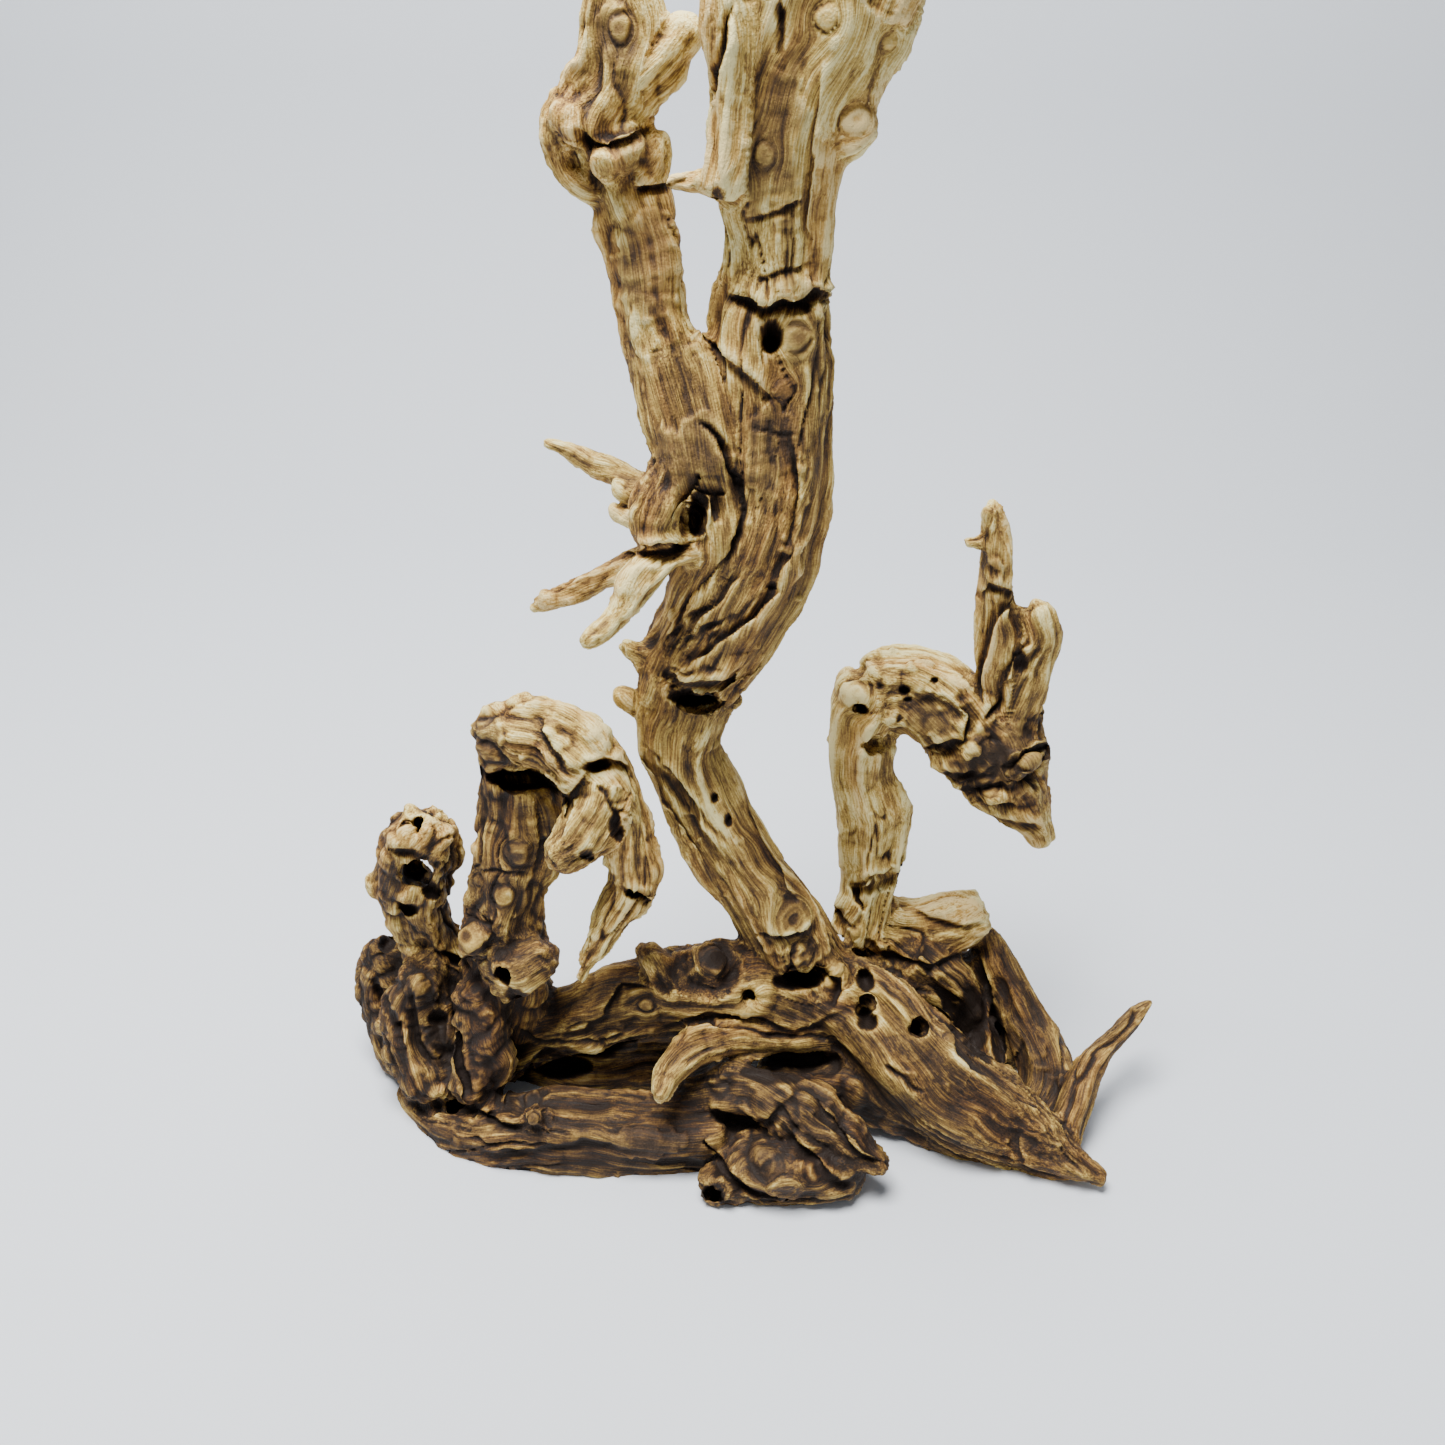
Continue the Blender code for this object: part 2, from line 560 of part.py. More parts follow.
def make_fork_slab(number, point, way, half_width, group):
    """A thin square plate across a fork, as thick as the gap that parts two limbs."""
    bm = bmesh.new()
    bmesh.ops.create_cube(bm, size=2.0)
    bmesh.ops.scale(bm, verts=bm.verts, vec=Vector((half_width, half_width, FORK_GAP / 2)) * MM)
    turn = Vector((0, 0, 1)).rotation_difference(Vector(way).normalized()).to_matrix()
    bmesh.ops.rotate(bm, verts=bm.verts, matrix=turn, cent=(0, 0, 0))
    bmesh.ops.translate(bm, verts=bm.verts, vec=at(*point))
    mesh_data = bpy.data.meshes.new("fork")
    bm.to_mesh(mesh_data)
    bm.free()
    return new_object(f"fork_{number}", mesh_data, group, helper=True)


def is_inside(tree, place):
    """Whether a place is in the wood: a line up from it then leaves one skin more than it enters."""
    crossings = 0
    start = place.copy()
    while True:
        hit, _, _, _ = tree.ray_cast(start, Vector((0, 0, 1)))
        if hit is None:
            return crossings % 2 == 1
        crossings += 1
        start = hit + Vector((0, 0, RAY_STEP * MM))


def wood_material(name, height):
    """Dry bare wood, paler and yellower the higher the limb stands."""
    share = min(1.0, height / TOP_OF_WOOD)
    colour = [low + (high - low) * share for low, high in zip(DARK_WOOD, PALE_WOOD)]
    material = bpy.data.materials.new(f"{name}_wood")
    material.use_nodes = True
    shader = material.node_tree.nodes["Principled BSDF"]
    shader.inputs["Base Color"].default_value = (*colour, 1.0)
    shader.inputs["Roughness"].default_value = ROUGHNESS
    shader.inputs["Metallic"].default_value = 0.0
    return material


def part_limbs(wood, group):
    """Gives each limb of the cut wood an object of its own."""
    whole = bmesh.new()
    whole.from_mesh(wood.data)
    whole.verts.index_update()
    islands = [{vert.index for vert in island} for island in islands_of(whole)]
    whole.free()
    pieces = []
    for island in islands:
        bm = bmesh.new()
        bm.from_mesh(wood.data)
        bmesh.ops.delete(bm, geom=[v for v in bm.verts if v.index not in island], context="VERTS")
        bmesh.ops.triangulate(bm, faces=bm.faces)
        pieces.append((bm, BVHTree.FromBMesh(bm)))
    for name, point in LIMB_NAMES:
        place = at(*point)
        chosen = [bm for bm, tree in pieces if is_inside(tree, place)]
        mesh_data = bpy.data.meshes.new(name)
        chosen[0].to_mesh(mesh_data)
        mesh_data.materials.append(wood_material(name, point[2]))
        mesh_data.shade_smooth()
        new_object(name, mesh_data, group)
    for bm, _ in pieces:
        bm.free()
    bpy.data.objects.remove(wood, do_unlink=True)


def build():
    clear_scene()
    parts = new_collection(NAME)
    cutters = new_collection("cutters", helper=True)
    wood = grow_wood(parts)
    fuse(wood, FUSE_CELL)
    take_away(wood, make_cutters(cutters))
    fuse(wood, FUSE_CELL)
    keep_largest(wood)
    wear(wood)
    thin_faces(wood, MOST_FACES)
    take_away(wood, make_ground(cutters))
    keep_largest(wood)
    for number, (point, way, half_width) in enumerate(FORKS):
        take_away(wood, make_fork_slab(number, point, way, half_width, cutters))
    part_limbs(wood, parts)


build()
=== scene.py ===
"""Coral wood: the finished look of a weathered, many-branched root.

The wood is grown limb by limb, fused into one body, then worn by rain and rot: the grain stands up in ridges,
cracks and holes open, knots and bark stay. It is parted at its forks at the end, one piece to each limb.
"""

import math
from collections import namedtuple

import bmesh
import bpy
import numpy as np
from bpy.props import FloatProperty, FloatVectorProperty, PointerProperty
from bpy.types import Operator, Panel, PropertyGroup
from mathutils import Matrix, Vector
from mathutils.bvhtree import BVHTree


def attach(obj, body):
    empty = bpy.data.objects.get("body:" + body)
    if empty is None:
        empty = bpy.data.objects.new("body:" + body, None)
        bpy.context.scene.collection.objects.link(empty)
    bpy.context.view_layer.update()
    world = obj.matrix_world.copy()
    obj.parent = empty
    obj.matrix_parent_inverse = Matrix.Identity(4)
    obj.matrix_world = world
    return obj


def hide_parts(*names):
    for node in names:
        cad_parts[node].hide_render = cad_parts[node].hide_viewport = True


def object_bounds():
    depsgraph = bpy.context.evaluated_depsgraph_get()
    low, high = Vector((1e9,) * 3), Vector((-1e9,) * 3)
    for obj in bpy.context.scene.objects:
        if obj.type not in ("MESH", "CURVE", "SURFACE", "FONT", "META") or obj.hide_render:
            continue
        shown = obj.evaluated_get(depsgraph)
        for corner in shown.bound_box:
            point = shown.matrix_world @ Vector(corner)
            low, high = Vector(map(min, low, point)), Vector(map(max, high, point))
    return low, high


bl_info = {
    "name": "Coral wood",
    "version": (1, 0, 0),
    "blender": (4, 5, 0),
    "location": "View3D > Sidebar > Coral wood",
    "description": "Grows, wears and colours a branching piece of weathered root wood",
    "category": "Add Mesh",
}

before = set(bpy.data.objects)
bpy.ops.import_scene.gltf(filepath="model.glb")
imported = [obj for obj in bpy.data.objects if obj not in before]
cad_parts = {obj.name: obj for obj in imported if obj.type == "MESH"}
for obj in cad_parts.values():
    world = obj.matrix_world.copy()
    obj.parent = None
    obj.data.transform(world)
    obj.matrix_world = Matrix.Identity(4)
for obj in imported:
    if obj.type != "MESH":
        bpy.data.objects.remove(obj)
CAD_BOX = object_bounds()

MM = 0.001
BODY = "root"

# Where the middle of the footprint is, in the millimetres of the tables below
FOOTPRINT_MIDDLE = np.array((14.0, 18.0, 0.0))

# The photograph and the camera that took it, in pixels, degrees and the tables' millimetres
PHOTO_SIDE = 1445
FOCAL_PIXELS = 1449.0
CAMERA_PLACE = np.array((0.0, -400.0, 428.0))
CAMERA_PITCH = 32.4
CAMERA_ROLL = 1.15
SENSOR = 36.0

# Lofting of the limbs
RING_SPACING = 3.0
RING_POINTS = 24
LEAST_RADIUS = 2.3
FLUTES = 5
FLUTE_DEPTH = 0.10
FLUTE_TWIST = 0.028
FINE_FLUTE_SHARE = 0.4
PHASE_STEP = 1.7

# The smallest and the largest knob of a burl, as shares of its radius
KNOB_SIZES = (0.7, 1.15)

# A station of a limb is (x, y, z, half width, half depth) in millimetres, from the ground under the trunk.


def trunk_limbs():
    """The trunk leans left, swells at a waist and goes on as two strands that part round a long crack."""
    return [
        [(40, 16, 40, 17, 17), (30, 16, 65, 16, 16), (15, 17, 92, 15, 15), (1, 18, 115, 15, 15),
         (-9, 19, 136, 14, 14), (-15, 20, 152, 14, 14), (-13, 20, 168, 16, 14), (-11, 18, 184, 18, 14)],
        [(-11, 17, 176, 13, 12), (-4, 14, 191, 15, 13), (4, 11, 208, 16, 13), (13, 10, 232, 15, 13),
         (17, 11, 255, 14, 13), (15, 14, 276, 16, 12), (12, 16, 299, 17, 11), (13, 16, 316, 15, 9)],
        [(-19, 20, 174, 10, 10), (-15, 17, 195, 11, 11), (-8, 12, 215, 10, 10), (-2, 8, 236, 8, 10),
         (-7, 10, 256, 12, 11), (-12, 14, 274, 14, 11), (-18, 18, 291, 12, 9)],
        [(-17, 8, 259, 6, 6), (-20, 5, 250, 10, 9), (-22, 3, 242, 9, 8), (-17, 5, 238, 7, 7)],
    ]


def trunk_spikes():
    """Broken side shoots on the trunk's left, from the highest down, and two small thorns at the waist."""
    return [
        [(-19, 20, 246, 5, 4), (-29, 22, 249, 4, 4), (-40, 25, 252, 4, 3), (-49, 28, 256, 3, 2),
         (-58, 30, 258, 2, 2)],
        [(-21, 16, 246, 4, 4), (-28, 16, 247, 3, 3), (-35, 17, 249, 2, 2)],
        [(-23, 15, 238, 3, 3), (-30, 15, 240, 2, 2), (-36, 16, 242, 2, 2)],
        [(-20, 18, 226, 6, 6), (-33, 22, 219, 5, 5), (-44, 26, 211, 5, 4), (-56, 30, 203, 4, 4),
         (-65, 33, 198, 2, 2)],
        [(-11, 4, 235, 5, 5), (-20, 0, 232, 6, 6), (-27, -6, 226, 7, 6), (-31, -10, 219, 5, 5),
         (-42, -17, 212, 3, 3)],
        [(-20, 18, 188, 6, 6), (-30, 15, 192, 4, 4), (-34, 14, 196, 2, 2)],
        [(-20, 20, 165, 5, 5), (-30, 18, 170, 3, 3), (-35, 16, 175, 2, 2)],
        [(-2, 20, 168, 6, 6), (6, 19, 172, 3, 3)],
    ]


def crown_limbs():
    """The flat upper trunk widens and splits into two broken prongs; a stub points to the left fork."""
    return [
        [(13, 16, 308, 15, 9), (13, 15, 329, 16, 8), (12, 13, 350, 19, 8), (15, 12, 368, 23, 8),
         (20, 10, 388, 26, 8), (22, 10, 400, 23, 7)],
        [(9, 10, 386, 16, 7), (8, 11, 403, 12, 6), (6, 12, 418, 8, 5), (4, 13, 432, 3, 3)],
        [(32, 9, 386, 14, 7), (38, 7, 402, 12, 6), (43, 5, 420, 9, 5), (46, 4, 437, 5, 4),
         (48, 3, 450, 2, 2)],
        [(-3, 5, 340, 6, 5), (-1, 5, 362, 5, 5), (-3, 4, 382, 6, 5), (-4, 4, 396, 4, 3)],
        [(3, 12, 339, 7, 6), (-6, 10, 341, 5, 5), (-13, 9, 341, 4, 4), (-19, 9, 341, 3, 3)],
        [(30, 12, 352, 6, 6), (37, 11, 357, 4, 4)],
    ]


def left_fork_limbs():
    """The left fork: a straight stem, a lobe that leans right and a hook that curls down on the left."""
    return [
        [(-17, 18, 286, 11, 9), (-22, 20, 300, 11, 8), (-26, 24, 322, 12, 8), (-31, 27, 339, 11, 9),
         (-37, 26, 355, 13, 10), (-32, 25, 366, 12, 10), (-31, 24, 380, 11, 8), (-31, 24, 392, 6, 5)],
        [(-29, 25, 363, 8, 8), (-20, 24, 369, 8, 7), (-12, 22, 379, 3, 3)],
        [(-29, 26, 339, 7, 7), (-23, 24, 345, 6, 6), (-20, 23, 351, 3, 3)],
        [(-37, 26, 354, 7, 7), (-46, 26, 355, 7, 6), (-51, 25, 348, 4, 4), (-49, 24, 340, 3, 3),
         (-44, 24, 336, 4, 4), (-36, 25, 334, 4, 4)],
    ]


def arch_limbs():
    """The arch: a leg with a cut bracket at its foot, and a knotty head that droops to a cut tip."""
    return [
        [(56, 38, 52, 11, 11), (59, 43, 76, 11, 11), (59, 44, 92, 13, 11), (58, 45, 105, 14, 11),
         (53, 46, 120, 12, 10), (51, 46, 135, 12, 11), (52, 46, 151, 13, 11), (54, 46, 162, 12, 11)],
        [(52, 44, 62, 8, 9), (64, 42, 54, 12, 12), (78, 42, 52, 12, 11), (92, 42, 55, 13, 10),
         (104, 42, 61, 9, 8)],
        [(52, 46, 161, 12, 11), (65, 46, 161, 15, 13), (80, 44, 153, 17, 13), (96, 42, 137, 19, 14),
         (107, 38, 123, 14, 11), (116, 36, 111, 8, 8), (120, 35, 102, 6, 6)],
        [(101, 40, 135, 11, 11), (116, 38, 141, 7, 7)],
    ]


def horn_limbs():
    """The horn that stands on the arch's head, with a lower lobe beside it and a thorn near its tip."""
    return [
        [(104, 42, 134, 11, 10), (103, 43, 148, 12, 9), (100, 43, 163, 10, 8), (96, 42, 182, 9, 7),
         (93, 41, 200, 7, 6), (90, 40, 218, 5, 5), (87, 39, 235, 3, 3)],
        [(104, 42, 153, 8, 8), (107, 40, 172, 7, 6), (109, 38, 188, 7, 5), (106, 38, 200, 4, 4)],
        [(88, 40, 222, 3, 3), (79, 38, 223, 2, 2)],
    ]


def right_root_limbs():
    """The right root runs down to a pointed toe; a wall, a tongue and a back root stand behind its hollow."""
    return [
        [(32, 16, 45, 17, 17), (53, 8, 40, 20, 20), (71, -4, 31, 20, 20), (90, -14, 18, 20, 19),
         (109, -22, 11, 18, 15), (123, -30, 9, 12, 9), (134, -37, 8, 6, 5), (143, -41, 6, 3, 3)],
        [(121, -14, 0, 13, 11), (129, 0, 8, 11, 10), (127, 14, 18, 10, 10), (120, 28, 26, 9, 10),
         (112, 40, 36, 8, 9), (106, 48, 46, 6, 6)],
        [(96, 42, 34, 12, 9), (106, 38, 20, 12, 9), (114, 32, 8, 12, 9), (120, 22, 2, 10, 9)],
        [(73, 30, 47, 13, 12), (90, 28, 36, 12, 9), (101, 22, 23, 8, 7), (107, 10, 11, 8, 6)],
        [(66, 34, 44, 16, 15), (92, 50, 20, 16, 14), (108, 56, 4, 14, 13), (118, 56, -8, 12, 12)],
    ]


def twig_limbs():
    """A thin twig that leaves the toe of the right root and points up and back."""
    return [[(130, -30, 5, 5, 5), (135, -16, 15, 6, 6), (142, -4, 24, 6, 6), (154, 8, 29, 5, 5),
             (164, 16, 34, 5, 5), (170, 20, 38, 3, 3)]]


def middle_log_limbs():
    """The middle log runs from the left burl up to the trunk's foot; its stubs are sawn-off shoots."""
    return [
        [(-97, 12, 5, 12, 12), (-79, 10, 18, 12, 12), (-60, 8, 31, 12, 12), (-37, 7, 43, 13, 13),
         (-14, 6, 53, 16, 15), (7, 8, 54, 17, 15), (28, 12, 45, 18, 16), (50, 14, 35, 18, 18)],
        [(-8, 4, 62, 11, 11), (-3, -1, 74, 8, 7)],
        [(-17, 2, 60, 8, 8), (-27, 0, 75, 5, 5)],
    ]


def front_log_limbs():
    """The front log lies on the ground, with a second root behind it that closes the base."""
    return [
        [(-118, 4, -6, 10, 11), (-106, -12, -3, 10, 10), (-89, -22, 2, 12, 12), (-66, -25, 8, 15, 15),
         (-43, -25, 8, 15, 15), (-20, -25, 8, 15, 15), (2, -22, 11, 15, 15)],
        [(-108, 30, -6, 12, 12), (-72, 17, -1, 12, 12), (-35, 14, 2, 12, 12), (2, 15, 8, 12, 12)],
        [(-65, -30, 22, 5, 5), (-65, -37, 28, 4, 4)],
    ]


def front_burl_limbs():
    """The low burl in front: a ridge, a rounded mass with a hollow stub, and the back that joins it on."""
    return [
        [(-9, -16, 18, 9, 9), (11, -20, 28, 11, 11), (29, -28, 26, 12, 12), (47, -38, 19, 10, 9),
         (62, -46, 16, 4, 4)],
        [(3, -47, 5, 8, 8), (16, -40, 6, 13, 12), (33, -40, 9, 14, 13), (52, -44, 10, 8, 8)],
        [(21, -8, 20, 13, 13), (47, -7, 19, 13, 13), (72, -14, 10, 9, 9), (90, -16, 5, 7, 7)],
        [(2, -47, 6, 7, 7), (-1, -52, 8, 6, 6)],
    ]


def hooked_root_limbs():
    """A thin root that leaves the right root, runs left over the burl and hooks down to a broken end."""
    return [[(55, 6, 30, 9, 9), (34, -3, 37, 6, 6), (12, -9, 43, 6, 6), (-5, -15, 46, 8, 8),
             (-16, -26, 43, 7, 6), (-20, -36, 37, 5, 4)]]


def back_root_limbs():
    """The roots at the back, which carry the standing wood."""
    return [
        [(34, 22, 44, 16, 16), (30, 46, 30, 14, 13), (24, 66, 14, 12, 12), (18, 84, 1, 10, 10)],
        [(44, 26, 36, 14, 14), (57, 46, 26, 11, 11), (60, 64, 12, 9, 9), (60, 77, -2, 8, 8)],
        [(-30, 22, 4, 12, 12), (-10, 34, 12, 12, 12), (14, 36, 24, 13, 13), (34, 30, 36, 14, 14)],
    ]


def left_burl_limbs():
    """The knotted mass of roots at the left end, with three roots that hang down over its front."""
    return [
        [(-131, 22, 48, 7, 7), (-135, 23, 33, 8, 8), (-131, 18, 18, 8, 8), (-124, 10, 5, 9, 9)],
        [(-110, 4, 57, 9, 8), (-115, 4, 40, 11, 9), (-113, -2, 25, 10, 9), (-108, -10, 12, 11, 9)],
        [(-90, -4, 60, 9, 9), (-87, -8, 46, 10, 9), (-88, -12, 30, 11, 9), (-93, -16, 18, 8, 8)],
        [(-86, 14, 34, 18, 18), (-103, 18, 27, 22, 20), (-121, 26, 21, 18, 18), (-136, 34, 24, 11, 11)],
        [(-85, 2, 16, 15, 15), (-102, 6, 12, 18, 18), (-119, 14, 11, 16, 16)],
        [(-106, -2, 12, 10, 10), (-106, -9, 6, 7, 7)],
        [(-124, 24, 44, 10, 10), (-132, 22, 55, 5, 5)],
        [(-104, 30, 20, 14, 14), (-112, 46, 8, 11, 11), (-118, 56, -3, 9, 9)],
    ]


def small_tower_limbs():
    """A short lacy tower at the far left."""
    return [
        [(-106, 20, 48, 14, 13), (-112, 19, 75, 12, 11), (-112, 17, 93, 14, 12), (-107, 15, 111, 14, 11),
         (-101, 13, 123, 9, 8)],
        [(-120, 20, 88, 6, 6), (-129, 20, 88, 4, 4)],
    ]


def tower_limbs():
    """The tower on the left burl, with two noses of wood beside its mouth and a wall behind the hook."""
    return [
        [(-83, 12, 34, 19, 18), (-79, 8, 60, 16, 15), (-78, 6, 81, 15, 14), (-75, 6, 102, 14, 12),
         (-72, 8, 118, 14, 12), (-71, 10, 134, 13, 11), (-71, 10, 149, 12, 10), (-71, 8, 162, 11, 10)],
        [(-81, 0, 81, 9, 9), (-89, -4, 86, 9, 8)],
        [(-78, 1, 70, 11, 11), (-71, -8, 74, 11, 10), (-62, -6, 78, 9, 9)],
        [(-65, 10, 140, 9, 8), (-62, 10, 130, 9, 8), (-61, 9, 118, 9, 8), (-65, 7, 104, 8, 8)],
    ]


def crest_limbs():
    """The crest bends over at the tower's top and comes down as a tusk; a hook hangs inside the bend."""
    return [
        [(-81, 8, 165, 7, 7), (-73, 7, 164, 10, 9), (-62, 5, 165, 14, 11), (-51, 3, 161, 15, 11),
         (-40, 0, 151, 13, 10), (-33, -3, 138, 10, 8), (-31, -6, 126, 10, 8), (-31, -8, 112, 10, 7),
         (-37, -11, 101, 8, 6), (-44, -14, 87, 5, 4), (-49, -17, 74, 2, 2)],
        [(-66, 6, 169, 6, 6), (-64, 6, 178, 3, 3)],
        [(-39, -3, 149, 11, 10), (-42, -9, 141, 11, 9), (-48, -14, 134, 8, 8), (-54, -17, 129, 6, 6)],
    ]


# How each group of limbs has weathered: its tone from dark (0) to straw (1), the depth of its ridges, of its
# lumps and of its pits, each as a share of the whole wood's, and how much of its bark is left.
Wear = namedtuple("Wear", "tone ridges lumps pits bark")
LIMB_GROUPS = (
    (trunk_limbs, Wear(0.48, 1.15, 0.15, 0.2, 0.35)),
    (trunk_spikes, Wear(0.60, 0.7, 0.3, 0.6, 0.1)),
    (crown_limbs, Wear(0.80, 0.9, 0.15, 0.5, 0.45)),
    (left_fork_limbs, Wear(0.68, 0.8, 0.4, 0.5, 0.4)),
    (arch_limbs, Wear(0.74, 1.0, 0.2, 0.2, 0.1)),
    (horn_limbs, Wear(0.57, 1.1, 0.3, 0.3, 0.3)),
    (right_root_limbs, Wear(0.30, 1.0, 0.2, 0.3, 0.1)),
    (twig_limbs, Wear(0.36, 0.7, 0.1, 0.2, 0.1)),
    (middle_log_limbs, Wear(0.34, 1.0, 0.3, 0.1, 0.2)),
    (front_log_limbs, Wear(0.18, 0.9, 0.2, 0.1, 0.25)),
    (front_burl_limbs, Wear(0.18, 0.9, 0.7, 0.2, 0.2)),
    (hooked_root_limbs, Wear(0.42, 0.8, 0.3, 0.3, 0.1)),
    (back_root_limbs, Wear(0.32, 1.0, 0.2, 0.2, 0.2)),
    (left_burl_limbs, Wear(0.20, 0.5, 1.0, 0.3, 0.3)),
    (small_tower_limbs, Wear(0.42, 0.4, 0.9, 0.7, 0.1)),
    (tower_limbs, Wear(0.34, 0.6, 0.7, 0.2, 0.2)),
    (crest_limbs, Wear(0.58, 1.3, 0.45, 0.4, 0.1)),
)

# Burls are covered with rounded knobs: (x, y, z) of the mass, how many, their radius, how far out, a seed.
KNOB_GROUPS = (
    ((-108, 14, 22), 16, 9.0, 19.0, 5),
    ((-80, 4, 62), 12, 7.5, 12.0, 9),
    ((-110, 16, 98), 14, 5.0, 10.5, 13),
    ((24, -38, 12), 12, 7.0, 13.0, 17),
    ((98, 40, 138), 10, 6.0, 16.0, 21),
    ((-36, 25, 352), 7, 5.5, 11.0, 29),
    ((-62, 5, 163), 8, 5.0, 12.0, 33),
)

# Hollows: (x, y, z) of the middle, and the half lengths along the width, the way in and the height.
HOLLOW_SLOPE = 32.0
HOLLOWS = (
    ((53, 2, 66), (5, 12, 6)),
    ((55, -6, 54), (4, 12, 5)),
    ((74, -8, 48), (4, 10, 4)),
    ((12, -4, 58), (5, 10, 4)),
    ((34, 2, 63), (11, 10, 4)),
    ((26, -12, 32), (24, 12, 4)),
    ((-58, -2, 16), (15, 14, 4)),
    ((-98, -10, 6), (5, 10, 4)),
    ((69, -15, 29), (9, 8, 3)),
    ((-8, 8, 177), (8, 9, 4)),
    ((-11, 2, 245), (4, 8, 5)),
    ((-44, 19, 345), (4, 8, 4)),
    ((-108, 14, 100), (7, 20, 7)),
    ((-92, 8, 130), (4, 12, 4)),
    ((-106, 10, 122), (3, 12, 4)),
    ((-75, -8, 72), (5, 12, 5)),
    ((-125, 12, 64), (6, 10, 6)),
    ((-110, 4, 70), (5, 10, 5)),
    ((-65, 0, 150), (13, 11, 6)),
    ((0, -54, 9), (4, 8, 4)),
    ((14, -50, 33), (10, 10, 3)),
    ((57, 36, 143), (8, 9, 4)),
    ((48, 36, 160), (3, 12, 3)),
    ((110, 22, 34), (6, 9, 13)),
    ((102, 8, 24), (8, 9, 11)),
)

# What the photograph shows is placed by its pixels, and found on the wood by the ray through each.
# Cracks: the half width and the depth in millimetres, then the pixels along the crack.
PHOTO_CRACKS = (
    (0.9, 6.0, (699, 420), (711, 428), (719, 437), (726, 450), (732, 470), (739, 493), (744, 513), (741, 536),
     (732, 553), (718, 572)),
    (0.9, 3.0, (716, 574), (702, 591), (682, 616), (670, 640)),
    (0.8, 2.4, (792, 452), (800, 493), (798, 534), (792, 555)),
    (0.8, 2.2, (762, 593), (735, 616), (702, 644)),
    (0.7, 1.8, (694, 336), (715, 346), (733, 361)),
    (0.7, 1.6, (751, 428), (776, 436), (796, 436)),
    (1.1, 4.0, (631, 548), (655, 544), (682, 546), (698, 538)),
    (1.0, 3.0, (736, 611), (700, 634), (677, 655)),
    (1.0, 3.0, (714, 604), (689, 620), (668, 641), (662, 654)),
    (0.9, 2.0, (661, 666), (680, 673), (700, 668), (721, 666)),
    (1.3, 3.4, (641, 746), (659, 757), (675, 777), (693, 805), (711, 825), (723, 839)),
    (0.9, 4.0, (779, 0), (779, 29), (781, 45), (779, 57)),
    (0.8, 2.4, (734, 0), (727, 29), (716, 67), (711, 96), (704, 120)),
    (0.8, 2.0, (743, 221), (770, 214), (805, 199)),
    (0.9, 2.4, (754, 290), (761, 277), (790, 272), (814, 266)),
    (0.8, 2.2, (613, 134), (630, 131), (645, 129)),
    (1.0, 2.6, (690, 200), (684, 250), (688, 320)),
    (1.1, 3.6, (923, 748), (935, 748), (951, 742), (964, 730), (967, 711)),
    (0.8, 2.0, (921, 689), (947, 697), (968, 711)),
    (1.4, 4.4, (1004, 771), (1021, 754), (1041, 746), (1053, 746)),
    (1.4, 4.0, (1009, 783), (1025, 781), (1043, 771), (1055, 762)),
    (1.1, 3.0, (951, 799), (964, 803), (976, 795), (984, 787)),
    (0.8, 2.0, (1000, 766), (964, 787), (941, 793)),
    (1.2, 3.4, (1011, 677), (1004, 693), (996, 707), (984, 722)),
    (1.2, 3.4, (849, 885), (866, 879), (886, 877), (900, 866)),
    (1.2, 3.4, (853, 885), (853, 901), (862, 911)),
    (1.0, 2.6, (829, 903), (841, 920), (857, 930)),
    (0.8, 2.0, (753, 931), (778, 938), (811, 931)),
    (1.0, 3.0, (680, 1025), (710, 1021), (744, 1025), (778, 1036), (802, 1039), (836, 1035)),
    (1.0, 3.4, (885, 1065), (909, 1084), (925, 1093)),
    (1.2, 3.0, (710, 1114), (732, 1126), (762, 1126), (772, 1142)),
    (1.1, 2.8, (775, 1102), (799, 1130), (824, 1145), (833, 1163)),
    (1.1, 2.8, (704, 1154), (726, 1175), (762, 1194), (793, 1201), (854, 1194)),
    (1.0, 2.6, (830, 1114), (860, 1136), (882, 1160)),
    (0.9, 2.4, (566, 1030), (579, 1026), (590, 1025)),
    (1.0, 2.6, (513, 1028), (535, 1039), (568, 1041), (600, 1039), (633, 1030)),
    (0.8, 2.0, (461, 1139), (492, 1141), (524, 1145), (557, 1141)),
    (0.9, 2.4, (500, 1149), (520, 1153)),
    (1.4, 4.0, (448, 1002), (457, 1034), (461, 1052), (470, 1095)),
    (1.2, 3.0, (405, 1021), (392, 1030)),
    (0.8, 2.2, (541, 717), (547, 741), (564, 762), (580, 778)),
    (1.0, 3.0, (596, 786), (609, 802), (621, 813), (633, 815)),
    (1.2, 3.6, (625, 888), (639, 894), (660, 904)),
    (0.9, 2.2, (480, 868), (502, 874), (531, 872)),
)

